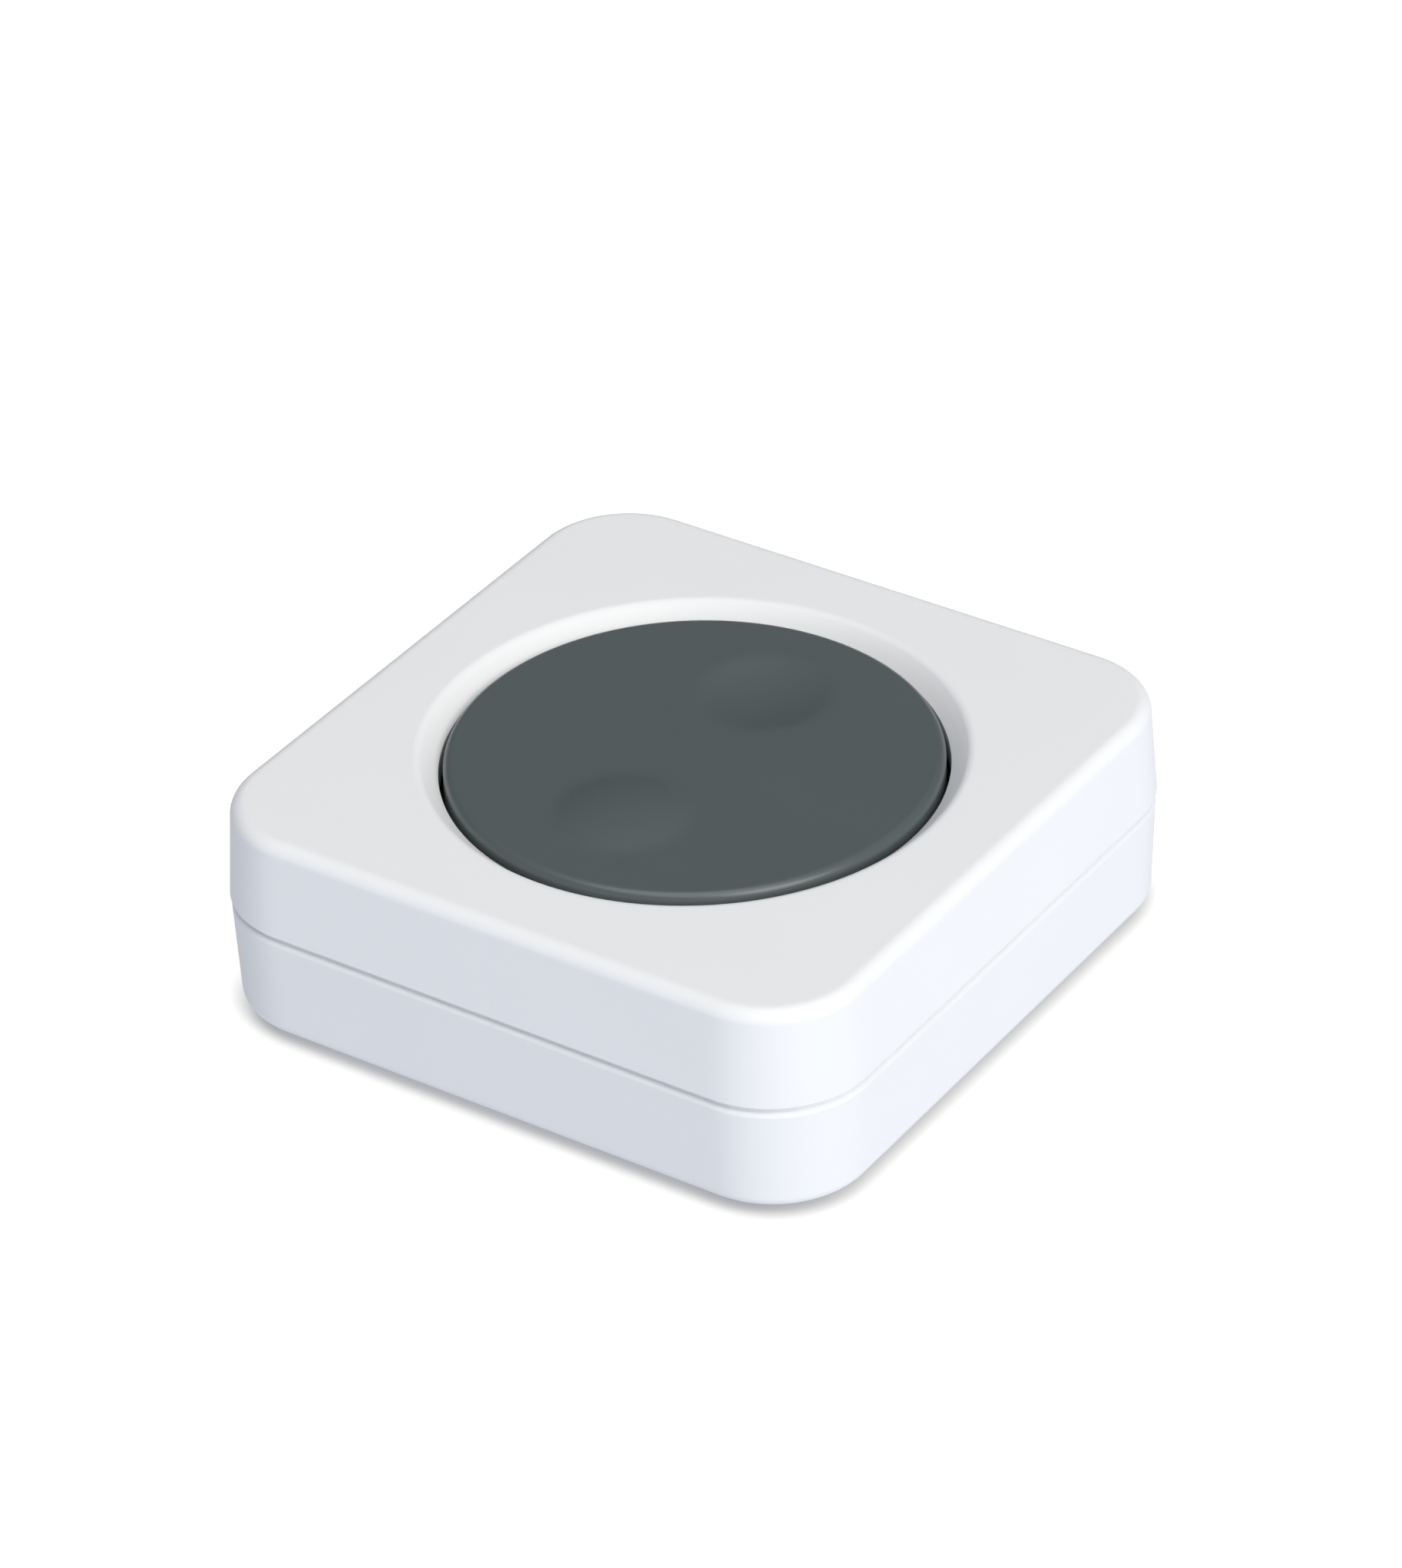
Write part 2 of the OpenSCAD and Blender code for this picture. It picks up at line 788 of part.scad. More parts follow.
// Capacitors in two rows
capacitor_l = 1.6;
capacitor_w = 0.8;
capacitor_h = 0.8;
capacitor_pitch = 2;
capacitor_row = 5;
capacitors = 5;

module power_chip() {
    first = (chip_l - (chip_legs - 1) * chip_leg_pitch - chip_leg_w) / 2;
    color(black_plastic) translate([chips_x - chip_l / 2, -chip_w / 2, board_top]) {
        cube([chip_l, chip_w, chip_h]);
        for (i = [0:chip_legs - 1], y = [-chip_leg_l, chip_w]) {
            translate([first + i * chip_leg_pitch, y, 0]) cube([chip_leg_w, chip_leg_l, chip_leg_h]);
        }
    }
}

module clock_crystal() {
    color(steel) translate([chips_x + chip_l / 2 + crystal_gap, -crystal_w / 2, board_top]) {
        cube([crystal_l, crystal_w, crystal_h]);
    }
}

module chip_capacitors() {
    color("burlywood") for (i = [0:capacitors - 1], row = [-1, 1]) {
        translate([chips_x - chip_l / 2 + i * capacitor_pitch, row * capacitor_row - capacitor_l / 2, board_top]) {
            cube([capacitor_w, capacitor_l, capacitor_h]);
        }
    }
}

// Battery

// Parts of the coin cell
cell_wall = 0.4;
cell_edge = 0.3;
seal_t = 0.3;
// Drops of the can's crimped edge and of the seal below the top of the cell
crimp_drop = 0.6;
seal_drop = 0.4;
// Distance of the cap's raised face from the side of the cell
cap_inset = 1.6;
cap_r = cell_r - cap_inset;
// Contacts: the side clip, then the spring finger
clip_w = 6;
clip_low = 1.2;
clip_foot = 3.5;
finger_w = 5;
finger_foot = 5;
finger_reach = 12;
finger_end_x = 9;
// Depth of the coin slot past the door's flange
slot_past = 0.25;

module coin_cell_can() {
    crimp_h = cell_h - crimp_drop;
    color(steel) translate([0, 0, cell_z]) rotate_extrude() {
        polygon([[0, 0], [cell_r - cell_edge, 0], [cell_r, cell_edge], [cell_r, crimp_h - cell_edge],
            [cell_r - cell_edge, crimp_h], [cell_r - cell_wall, crimp_h], [cell_r - cell_wall, cell_wall],
            [0, cell_wall]]);
    }
}

module coin_cell_seal() {
    color(black_plastic) translate([0, 0, cell_z + cell_wall]) rotate_extrude() {
        translate([cell_r - cell_wall - seal_t - seat, 0]) square([seal_t, cell_h - cell_wall - seal_drop]);
    }
}

module coin_cell_cap() {
    rim_r = cell_r - cell_wall - seal_t - 2 * seat;
    color(steel) translate([0, 0, cell_z + cell_wall + seat]) rotate_extrude() {
        h = cell_h - cell_wall - seat;
        polygon([[0, 0], [rim_r, 0], [rim_r, h - seal_drop - cell_edge], [cap_r, h - seal_drop],
            [cap_r - cell_edge, h], [0, h]]);
    }
}

// Side clip that touches the can between two bay walls
module positive_contact() {
    top = board_z - cell_z;
    color(gold) translate([clip_w / 2, cell_r + seat, cell_z]) rotate([90, 0, -90]) {
        linear_extrude(clip_w) {
            polygon([[0, clip_low], [-contact_t, clip_low], [-contact_t, top - contact_t],
                [-clip_foot, top - contact_t], [-clip_foot, top], [0, top]]);
        }
    }
}

// Spring finger under the board that touches the cap
module negative_contact() {
    drop = contact_room - seat;
    length = finger_foot + finger_reach;
    color(gold) translate([finger_end_x - length, finger_w / 2, board_z]) {
        rotate([90, 0, 0]) linear_extrude(finger_w) {
            polygon([[0, 0], [finger_foot, 0], [length, contact_t - drop], [length, -drop],
                [finger_foot, -contact_t], [0, -contact_t]]);
        }
    }
}

module battery_door() {
    door_low = base_z + seat;
    slot_depth = flange_t + slot_past;
    color(white_plastic) difference() {
        union() {
            translate([0, 0, door_low]) cylinder(h = flange_t, r = recess_r - door_gap);
            translate([0, 0, door_low]) cylinder(h = tab_z + tab_t - door_low, r = hub_r);
            for (i = [0:tab_count - 1]) {
                rotate(tab_start - tab_angle / 2 + i * 360 / tab_count) translate([0, 0, tab_z]) {
                    rotate_extrude(angle = tab_angle) square([tab_r, tab_t]);
                }
            }
        }
        translate([0, 0, door_low - over]) linear_extrude(over + slot_depth) {
            square([slot_l - slot_w, slot_w], center = true);
            for (side = [-1, 1]) {
                translate([side * (slot_l - slot_w) / 2, 0]) circle(d = slot_w);
            }
        }
    }
}

top_cover();
base_shell();
rocker_disc();
pivot_pins();
rocker_frame();
frame_screws();
circuit_board();
board_screws();
switch_housings();
switch_covers();
switch_domes();
switch_terminals();
front_plunger();
rear_plunger();
radio_module();
shield_can();
chip_antenna();
power_chip();
clock_crystal();
chip_capacitors();
coin_cell_can();
coin_cell_seal();
coin_cell_cap();
positive_contact();
negative_contact();
battery_door();
case_screws();
rubber_feet();
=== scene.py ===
"""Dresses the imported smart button: moulded case, rocking disc, battery door, feet and studio."""

import json
import logging
import math
from dataclasses import dataclass
from enum import Enum
from typing import Optional, Sequence

import bmesh
import bpy
from mathutils import Matrix, Vector


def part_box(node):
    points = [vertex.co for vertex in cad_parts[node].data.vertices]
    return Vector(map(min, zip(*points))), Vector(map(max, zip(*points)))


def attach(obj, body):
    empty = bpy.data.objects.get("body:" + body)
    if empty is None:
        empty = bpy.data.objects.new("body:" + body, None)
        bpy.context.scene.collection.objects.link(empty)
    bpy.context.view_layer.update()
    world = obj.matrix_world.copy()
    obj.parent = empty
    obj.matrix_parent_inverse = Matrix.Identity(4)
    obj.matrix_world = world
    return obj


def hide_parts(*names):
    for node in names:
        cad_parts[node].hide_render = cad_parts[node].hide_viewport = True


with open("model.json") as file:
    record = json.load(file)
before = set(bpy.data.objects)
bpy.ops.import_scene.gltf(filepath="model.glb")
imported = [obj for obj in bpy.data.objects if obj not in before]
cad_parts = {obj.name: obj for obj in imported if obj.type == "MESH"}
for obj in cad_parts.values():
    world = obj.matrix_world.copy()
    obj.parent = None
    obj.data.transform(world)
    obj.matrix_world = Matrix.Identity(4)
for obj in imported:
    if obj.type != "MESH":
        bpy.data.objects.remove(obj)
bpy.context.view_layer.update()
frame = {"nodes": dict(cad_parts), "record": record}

MM = 0.001
SHARP_ANGLE = 32.0  # Edges that turn further than this, in degrees, stay sharp
WELD = 0.0005 * MM  # Points nearer to each other than this become one
OVER = 1.0 * MM  # How far a tool reaches past the face that it works on
WHITE = (1.0, 1.0, 1.0)
TIN = (0.62, 0.62, 0.6)  # Colour of tinned ends

# Sides of round bosses, bores, pins, pads and the door, and the angle of one chord of a bent block
PEG_SIDES = 40
BORE_SIDES = 24
POCKET_SIDES = 48
PIN_SIDES = 32
PAD_SIDES = 64
DOOR_SIDES = 128
CHORD = 3.0

# Places of the rings on the flat faces, as shares of the way from the walls to the hole
TOP_SHARES = (0.03, 0.3, 0.6, 0.97)
ROOF_SHARES = (0.6, 0.3)
FLOOR_SHARES = (0.35, 0.7)
UNDER_SHARES = (0.97, 0.65, 0.3, 0.03)

Point = tuple[float, float]
Colour = tuple[float, float, float]
log = logging.getLogger("smart_button")


class Way(Enum):
    """How one solid is worked into another."""

    JOIN = "UNION"
    CUT = "DIFFERENCE"


def arc(centre: Point, radius: float, start: float, stop: float, steps: int) -> list[Point]:
    """Samples an arc, both ends included.

    Args:
        centre: Middle of the arc.
        radius: Radius of the arc.
        start: First angle, in degrees.
        stop: Last angle, in degrees.
        steps: Number of chords.

    Returns:
        The points along the arc.
    """
    points = []
    for i in range(steps + 1):
        angle = math.radians(start + (stop - start) * i / steps)
        points.append((centre[0] + radius * math.cos(angle), centre[1] + radius * math.sin(angle)))
    return points


def corners(x: float, y: float) -> list[Point]:
    """Gives the four places (+-x, +-y)."""
    return [(sx * x, sy * y) for sx in (-1, 1) for sy in (-1, 1)]


def put(name: str, data: bpy.types.ID) -> bpy.types.Object:
    """Makes an object and links it to the scene.

    Args:
        name: Name of the object.
        data: Mesh, lamp or camera that it shows.

    Returns:
        The new object.
    """
    made = bpy.data.objects.new(name, data)
    bpy.context.scene.collection.objects.link(made)
    return made


class Solid:
    """A closed mesh under construction, built from rings of points."""

    def __init__(self) -> None:
        """Starts an empty mesh."""
        self.mesh = bmesh.new()

    def ring(self, points: Sequence[Point], height: float) -> list[bmesh.types.BMVert]:
        """Adds a level ring of points and gives its vertices, in order."""
        return [self.mesh.verts.new((x, y, height)) for x, y in points]

    def bridge(self, low: list, high: list) -> None:
        """Joins two rings with faces; a ring of one vertex makes a fan.

        Args:
            low: Vertices of one ring.
            high: Vertices of the other ring, as many or one.
        """
        count = max(len(low), len(high))
        for i in range(count):
            j = (i + 1) % count
            around = [low[i % len(low)], low[j % len(low)], high[j % len(high)], high[i % len(high)]]
            face = list(dict.fromkeys(around))
            if len(face) > 2:
                self.mesh.faces.new(face)

    def loft(self, rings: Sequence[list], closed: bool = True) -> None:
        """Joins rings one after another.

        Args:
            rings: Rings of vertices, in order.
            closed: Whether the last ring joins the first again.
        """
        after = rings[1:] + rings[:1] if closed else rings[1:]
        for low, high in zip(rings, after):
            self.bridge(low, high)

    def turned(self, profile: Sequence[Point], steps: int, centre: Point = (0.0, 0.0)) -> None:
        """Adds a turned solid.

        Args:
            profile: Closed outline of radii and heights; a radius of zero lies on the axis.
            steps: Number of sides.
            centre: Place of the axis in plan.
        """
        rings = []
        for radius, height in profile:
            count = steps if radius > 0 else 1
            turn = [2 * math.pi * i / count for i in range(count)]
            plan = [(centre[0] + radius * math.cos(a), centre[1] + radius * math.sin(a)) for a in turn]
            rings.append(self.ring(plan, height))
        self.loft(rings)

    def peg(self, radius: float, low: float, high: float, sides: int, centre: Point = (0.0, 0.0)) -> None:
        """Adds an upright cylinder between two heights."""
        self.turned([(0, low), (radius, low), (radius, high), (0, high)], sides, centre)

    def prism(self, outline: Sequence[Point], low: float, high: float) -> None:
        """Adds an upright prism.

        Args:
            outline: Plan of the prism.
            low: Height of its lower face.
            high: Height of its upper face.
        """
        bottom = self.ring(outline, low)
        top = self.ring(outline, high)
        self.bridge(bottom, top)
        self.mesh.faces.new(bottom)
        self.mesh.faces.new(top)

    def sector(
        self, inner: float, outer: float, low: float, high: float, start: float, sweep: float
    ) -> None:
        """Adds a block bent about the middle axis.

        Args:
            inner: Inner radius.
            outer: Outer radius.
            low: Height of its lower face.
            high: Height of its upper face.
            start: First angle, in degrees.
            sweep: Angle that it covers, in degrees.
        """
        steps = max(4, round(sweep / CHORD))
        far = arc((0.0, 0.0), outer, start, start + sweep, steps)
        near = arc((0.0, 0.0), inner, start + sweep, start, steps)
        self.prism(far + near, low, high)

    def place(self, name: str, lie: Optional[Matrix] = None) -> bpy.types.Object:
        """Welds the mesh, turns its faces outwards and puts it into the scene.

        Args:
            name: Name of the object.
            lie: Optional move from the mesh's own axes to the button's.

        Returns:
            The new object.
        """
        bmesh.ops.remove_doubles(self.mesh, verts=self.mesh.verts, dist=WELD)
        if lie is not None:
            bmesh.ops.transform(self.mesh, matrix=lie, verts=self.mesh.verts)
        bmesh.ops.recalc_face_normals(self.mesh, faces=self.mesh.faces)
        data = bpy.data.meshes.new(name)
        self.mesh.to_mesh(data)
        self.mesh.free()
        return put(name, data)


def work(piece: bpy.types.Object, tool: Solid, way: Way, lie: Optional[Matrix] = None) -> None:
    """Joins a tool solid to a piece or cuts it out.

    Args:
        piece: Object that is changed.
        tool: Solid that is used up.
        way: Whether the tool is joined or cut.
        lie: Optional move of the tool into place.
    """
    cutter = tool.place("tool", lie)
    step = piece.modifiers.new("work", "BOOLEAN")
    step.operation = way.value
    step.solver = "EXACT"
    step.object = cutter
    bpy.context.view_layer.update()
    depsgraph = bpy.context.evaluated_depsgraph_get()
    made = bpy.data.meshes.new_from_object(piece.evaluated_get(depsgraph))
    piece.modifiers.clear()
    spent = [piece.data, cutter.data]
    piece.data = made
    made.name = piece.name
    bpy.data.objects.remove(cutter)
    for mesh in spent:
        bpy.data.meshes.remove(mesh)


def finish_piece(
    piece: bpy.types.Object, material: bpy.types.Material, body: str, node: str
) -> None:
    """Smooths a piece, gives it its finish and ties it to the frame.

    Args:
        piece: Object that is finished.
        material: Its finish.
        body: Body that it moves with.
        node: CAD node that it stands for.
    """
    piece.data.shade_smooth()
    piece.data.set_sharp_from_angle(angle=math.radians(SHARP_ANGLE))
    even = piece.modifiers.new("even_normals", "WEIGHTED_NORMAL")
    even.keep_sharp = True
    piece.data.materials.clear()
    piece.data.materials.append(material)
    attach(piece, body)
    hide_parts(node)
    log.info("%s: %d faces, rides on %s", piece.name, len(piece.data.polygons), body)


@dataclass(frozen=True)
class Plan:
    """Plan of the case: rounded squares that share their corner centres, and circles inside them."""

    corner: float  # Distance of the corner centres from the middle, along each side
    half: float  # Half width at the seam
    side_steps: int = 32  # Points along a side
    arc_steps: int = 18  # Points along a corner

    def square(self, half: float) -> list[Point]:
        """Outline of a rounded square, anticlockwise.

        Args:
            half: Half of its width.

        Returns:
            The points; each has its partner on every other outline of the plan.
        """
        edge = math.atan2(self.corner, self.half)
        quarter = []
        for i in range(self.side_steps):
            along = math.tan(edge * (2 * i / self.side_steps - 1)) / math.tan(edge)
            quarter.append((half, self.corner * along))
        quarter += arc((self.corner, self.corner), half - self.corner, 0, 90, self.arc_steps)[:-1]
        points = []
        for _ in range(4):
            points += quarter
            quarter = [(-y, x) for x, y in quarter]
        return points

    def circle(self, radius: float) -> list[Point]:
        """Circle whose points lie in the same directions as those of the squares."""
        turn = [math.atan2(y, x) for x, y in self.square(self.half)]
        return [(radius * math.cos(a), radius * math.sin(a)) for a in turn]

    def between(self, half: float, radius: float, share: float) -> list[Point]:
        """Outline part of the way from a square, at share 0, to a circle, at share 1."""
        pairs = zip(self.square(half), self.circle(radius))
        return [(a[0] + (b[0] - a[0]) * share, a[1] + (b[1] - a[1]) * share) for a, b in pairs]

    def web(self, solid: Solid, half: float, radius: float, height: float, shares: Sequence[float]) -> list:
        """Adds level rings between a square and a circle, and gives them in order."""
        return [solid.ring(self.between(half, radius, share), height) for share in shares]


@dataclass(frozen=True)
class CaseSizes:
    """Sizes that the pieces of the case share, in metres."""

    half: float  # Half width at the seam
    top: float  # Height of the cover's top
    bottom: float  # Height of the base's bottom
    lip_top: float  # Height of the lip inside the seam
    corner_r: float = 8.8 * MM  # Radius of the upright corners at the seam
    seam: float = 10.7 * MM  # Height of the middle of the seam
    seam_gap: float = 0.6 * MM  # Height of the shadow gap
    seam_depth: float = 0.5 * MM  # Depth of the shadow gap
    wall: float = 2.2 * MM  # Thickness of the side walls
    lip: float = 1.05 * MM  # Thickness of the lip
    lip_gap: float = 0.15 * MM  # Gap between the lip and the cover
    boss_inset: float = 8.0 * MM  # Distance of the case screws from the sides
    boss_d: float = 6.4 * MM  # Diameter of the case bosses
    boss_drop: float = 1.0 * MM  # Distance of the bosses' meeting face below the seam
    screw_d: float = 2.2 * MM  # Diameter of the case screws
    screw_play: float = 0.15 * MM  # Clearance round a screw, on the radius
    seat: float = 0.05 * MM  # Clearance where two pieces seat on each other

    @classmethod
    def from_frame(cls) -> "CaseSizes":
        """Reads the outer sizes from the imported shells.

        Returns:
            The case's sizes.
        """
        cover_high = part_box("top_cover")[1]
        base_low, base_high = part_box("base_shell")
        return cls(half=cover_high.x, top=cover_high.z, bottom=base_low.z, lip_top=base_high.z)

    @property
    def plan(self) -> Plan:
        """Plan that every outline of the case follows."""
        return Plan(self.half - self.corner_r, self.half)

    @property
    def inner(self) -> float:
        """Half width of the room inside the walls."""
        return self.half - self.wall

    @property
    def bosses(self) -> list[Point]:
        """Places of the four case screws."""
        return corners(self.half - self.boss_inset, self.half - self.boss_inset)


@dataclass
class TopCover:
    """White upper shell with the round hole for the disc."""

    case: CaseSizes  # Sizes of the case
    draft: float = 0.5 * MM  # How much the sides lean in
    top_edge: float = 1.25 * MM  # Radius round the top
    low_edge: float = 0.1 * MM  # Small radius at the seam
    hole_r: float = 21.0 * MM  # Radius of the hole at the disc
    hole_flare: float = 2.05 * MM  # Width of the flared edge round the hole
    hole_edge: float = 1.05 * MM  # Radius where the flare meets the top
    hole_slope: float = 45.0  # Slope of the flare, in degrees from level
    collar_depth: float = 3.8 * MM  # Depth of the collar round the hole
    collar_land: float = 0.5 * MM  # Flat ring between the flare and the collar's outside
    plate: float = 2.0 * MM  # Thickness of the top
    frame_boss_d: float = 5.0 * MM  # Diameter of the bosses for the rocker frame
    frame_boss_gap: float = 0.45 * MM  # Distance of those bosses from the hole
    frame_boss_turn: float = 65.0  # Direction of those bosses from the middle, in degrees
    frame_screw_d: float = 1.8 * MM  # Diameter of the frame's screws
    frame_screw_grip: float = 3.0 * MM  # Length of a frame screw in its boss
    pilot_end: float = 0.15 * MM  # Material left above a pilot hole

    def side(self) -> list[Point]:
        """Outline of the outside.

        Returns:
            Half widths and heights, from the seam to the flat top.
        """
        case = self.case
        low = case.seam + case.seam_gap / 2
        lean = math.degrees(math.atan2(self.draft, case.top - self.top_edge - low))
        shoulder = (case.half - self.draft - self.top_edge, case.top - self.top_edge)
        foot = (case.half - self.low_edge, low + self.low_edge)
        return arc(foot, self.low_edge, -90, lean, 4) + arc(shoulder, self.top_edge, lean, 90, 14)

    def hole(self) -> list[Point]:
        """Outline of the hole.

        Returns:
            Radii and heights, from the flat top to the collar's outside.
        """
        case = self.case
        centre = (self.hole_r + self.hole_flare, case.top - self.hole_edge)
        low = case.top - self.collar_depth
        outside = centre[0] + self.collar_land
        edge = arc(centre, self.hole_edge, 90, 90 + self.hole_slope, 12)
        drop = (edge[-1][0] - self.hole_r) * math.tan(math.radians(self.hole_slope))
        foot = (self.hole_r, edge[-1][1] - drop)
        return edge + [foot, (self.hole_r, low), (outside, low), (outside, case.top - self.plate)]

    def inside(self) -> list[Point]:
        """Outline of the inside.

        Returns:
            Half widths and heights, from the roof down to the seam.
        """
        case = self.case
        rebate = case.inner + case.lip + case.lip_gap
        ledge = case.lip_top + 2 * case.lip_gap
        roof = case.top - self.plate
        low = case.seam + case.seam_gap / 2
        return [(case.inner, roof), (case.inner, ledge), (rebate, ledge), (rebate, low)]

    def build(self) -> bpy.types.Object:
        """Makes the shell with its bosses and pilot holes.

        Returns:
            The cover, not yet finished.
        """
        case, plan = self.case, self.case.plan
        side, hole, inside = self.side(), self.hole(), self.inside()
        shell = Solid()
        rings = [shell.ring(plan.square(half), z) for half, z in side]
        rings += plan.web(shell, side[-1][0], hole[0][0], case.top, TOP_SHARES)
        rings += [shell.ring(plan.circle(radius), z) for radius, z in hole]
        rings += plan.web(shell, inside[0][0], hole[-1][0], inside[0][1], ROOF_SHARES)
        rings += [shell.ring(plan.square(half), z) for half, z in inside]
        shell.loft(rings)
        piece = shell.place("cover_shell")
        self.add_bosses(piece)
        return piece

    def add_bosses(self, piece: bpy.types.Object) -> None:
        """Adds the bosses under the roof and drills their pilot holes.

        Args:
            piece: The cover's shell.
        """
        case = self.case
        roof = case.top - self.plate
        foot = case.seam - case.boss_drop + case.seat
        frame_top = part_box("frame_screws")[1].z - self.frame_screw_grip
        reach = self.hole_r + self.frame_boss_gap + self.frame_boss_d / 2
        turn = math.radians(self.frame_boss_turn)
        near_hole = corners(reach * math.cos(turn), reach * math.sin(turn))
        pegs = Solid()
        bores = Solid()
        screw_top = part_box("case_screws")[1].z
        for places, radius, low, bore, high in (
            (case.bosses, case.boss_d / 2, foot, case.screw_d / 2, screw_top + OVER),
            (near_hole, self.frame_boss_d / 2, frame_top, self.frame_screw_d / 2, roof - self.pilot_end),
        ):
            for place in places:
                pegs.peg(radius, low, roof + OVER / 2, PEG_SIDES, place)
                bores.peg(bore, low - OVER, high, BORE_SIDES, place)
        work(piece, pegs, Way.JOIN)
        work(piece, bores, Way.CUT)


@dataclass
class BaseShell:
    """White lower shell with its lip, battery bay and pockets for the feet."""

    case: CaseSizes  # Sizes of the case
    step: float = 0.1 * MM  # How far the rim stands back from the cover
    taper: float = 0.3 * MM  # How much the sides lean in towards the bottom
    rim_edge: float = 0.4 * MM  # Radius of the upper rim
    low_edge: float = 1.0 * MM  # Radius round the bottom
    floor: float = 1.8 * MM  # Thickness of the floor
    lip_edge: float = 0.2 * MM  # Chamfer of the lip
    door_hole_r: float = 12.75 * MM  # Radius of the hole that the cell passes through
    recess_r: float = 15.75 * MM  # Radius of the recess for the door
    recess_depth: float = 0.85 * MM  # Depth of that recess
    recess_edge: float = 0.15 * MM  # Small radius round the recess
    bay_r: float = 12.65 * MM  # Radius of the battery bay
    bay_wall: float = 1.4 * MM  # Thickness of the bay's walls
    bay_drop: float = 0.5 * MM  # Distance of the bay's walls below the top of the cell
    tabs: int = 3  # Number of the door's bayonet tabs
    tab_r: float = 14.6 * MM  # Radius that the tabs reach to
    tab_angle: float = 22.0  # Angle of one tab, in degrees
    tab_margin: float = 4.0  # Angle left free beside a tab, in degrees
    door_turn: float = 30.0  # Angle that the door turns through, in degrees
    foot_d: float = 8.4 * MM  # Diameter of a foot's pocket
    foot_pocket: float = 0.6 * MM  # Depth of a foot's pocket
    head_d: float = 4.2 * MM  # Diameter of a screw head's bore
    head_depth: float = 2.4 * MM  # Depth of that bore from the bottom

    def outside(self) -> list[Point]:
        """Outline of the walls.

        Returns:
            Half widths and heights, from the flat bottom up to the lip and down the inside.
        """
        case = self.case
        rim_x = case.half - self.step
        rim_z = case.seam - case.seam_gap / 2
        seat = case.seam + case.seam_gap / 2 - case.seat
        low_x = rim_x - self.taper
        inset = self.rim_edge - case.seam_depth + self.step
        turn = math.acos(inset / self.rim_edge)
        low = (low_x - self.low_edge, case.bottom + self.low_edge)
        high = (rim_x - self.rim_edge, rim_z - self.rim_edge * math.sin(turn))
        lean = math.degrees(math.atan2(self.taper, high[1] - low[1]))
        lip = case.inner + case.lip
        points = arc(low, self.low_edge, -90, -lean, 10)
        points += arc(high, self.rim_edge, -lean, math.degrees(turn), 8)
        points += [(case.half - case.seam_depth, seat), (lip, seat), (lip, case.lip_top - self.lip_edge)]
        points += [(lip - self.lip_edge, case.lip_top)]
        return points + [(case.inner, case.lip_top), (case.inner, case.bottom + self.floor)]

    def opening(self) -> list[Point]:
        """Outline of the door's opening.

        Returns:
            Radii and heights, from the floor inside to the flat bottom.
        """
        bottom = self.case.bottom
        ledge = bottom + self.recess_depth
        small = self.recess_edge
        edge = arc((self.recess_r + small, bottom + small), small, 180, 270, 4)
        inner = [(self.door_hole_r, bottom + self.floor), (self.door_hole_r, ledge), (self.recess_r, ledge)]
        return inner + edge

    def build(self) -> bpy.types.Object:
        """Makes the shell with its bosses, bay and pockets.

        Returns:
            The base, not yet finished.
        """
        plan = self.case.plan
        outside, opening = self.outside(), self.opening()
        shell = Solid()
        rings = [shell.ring(plan.square(half), z) for half, z in outside]
        rings += plan.web(shell, outside[-1][0], opening[0][0], outside[-1][1], FLOOR_SHARES)
        rings += [shell.ring(plan.circle(radius), z) for radius, z in opening]
        rings += plan.web(shell, outside[0][0], opening[-1][0], self.case.bottom, UNDER_SHARES)
        shell.loft(rings)
        piece = shell.place("base_tray")
        self.add_inside(piece)
        self.cut_pockets(piece)
        return piece

    def add_inside(self, piece: bpy.types.Object) -> None:
        """Adds the screw bosses and the walls of the battery bay.

        Args:
            piece: The base's shell.
        """
        case = self.case
        floor = case.bottom + self.floor
        boss_top = case.seam - case.boss_drop
        bay_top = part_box("coin_cell_cap")[1].z - self.bay_drop
        sweep = self.tab_angle + self.door_turn + 2 * self.tab_margin
        share = 360 / self.tabs
        added = Solid()
        root = floor - OVER / 2
        for place in case.bosses:
            added.peg(case.boss_d / 2, root, boss_top, PEG_SIDES, place)
        for i in range(self.tabs):
            start = 90 + sweep / 2 + i * share
            added.sector(self.bay_r, self.bay_r + self.bay_wall, root, bay_top, start, share - sweep)
        work(piece, added, Way.JOIN)

    def cut_pockets(self, piece: bpy.types.Object) -> None:
        """Cuts the feet's pockets, the screw bores and the notches for the door's tabs.

        Args:
            piece: The base's shell.
        """
        case = self.case
        under, out = case.bottom - OVER, case.seam
        foot, head, screw = self.foot_d / 2, self.head_d / 2, case.screw_d / 2 + case.screw_play
        ledge, seat = case.bottom + self.foot_pocket, case.bottom + self.head_depth
        steps = [(0, under), (foot, under), (foot, ledge), (head, ledge), (head, seat)]
        steps += [(screw, seat), (screw, out), (0, out)]
        bores = Solid()
        for place in case.bosses:
            bores.turned(steps, POCKET_SIDES, place)
        work(piece, bores, Way.CUT)
        notch = self.tab_angle + self.tab_margin
        low, high = case.bottom + self.recess_depth / 2, case.bottom + self.floor + OVER
        notches = Solid()
        for i in range(self.tabs):
            start = 90 - self.door_turn / 2 - notch / 2 + i * 360 / self.tabs
            notches.sector(self.door_hole_r - OVER, self.tab_r, low, high, start, notch)
        work(piece, notches, Way.CUT)


class Mark(Enum):
    """The two touch marks, by their side of the tilt axis: the front one rises, the rear one sinks."""

    RAISED = -1
    SUNKEN = 1


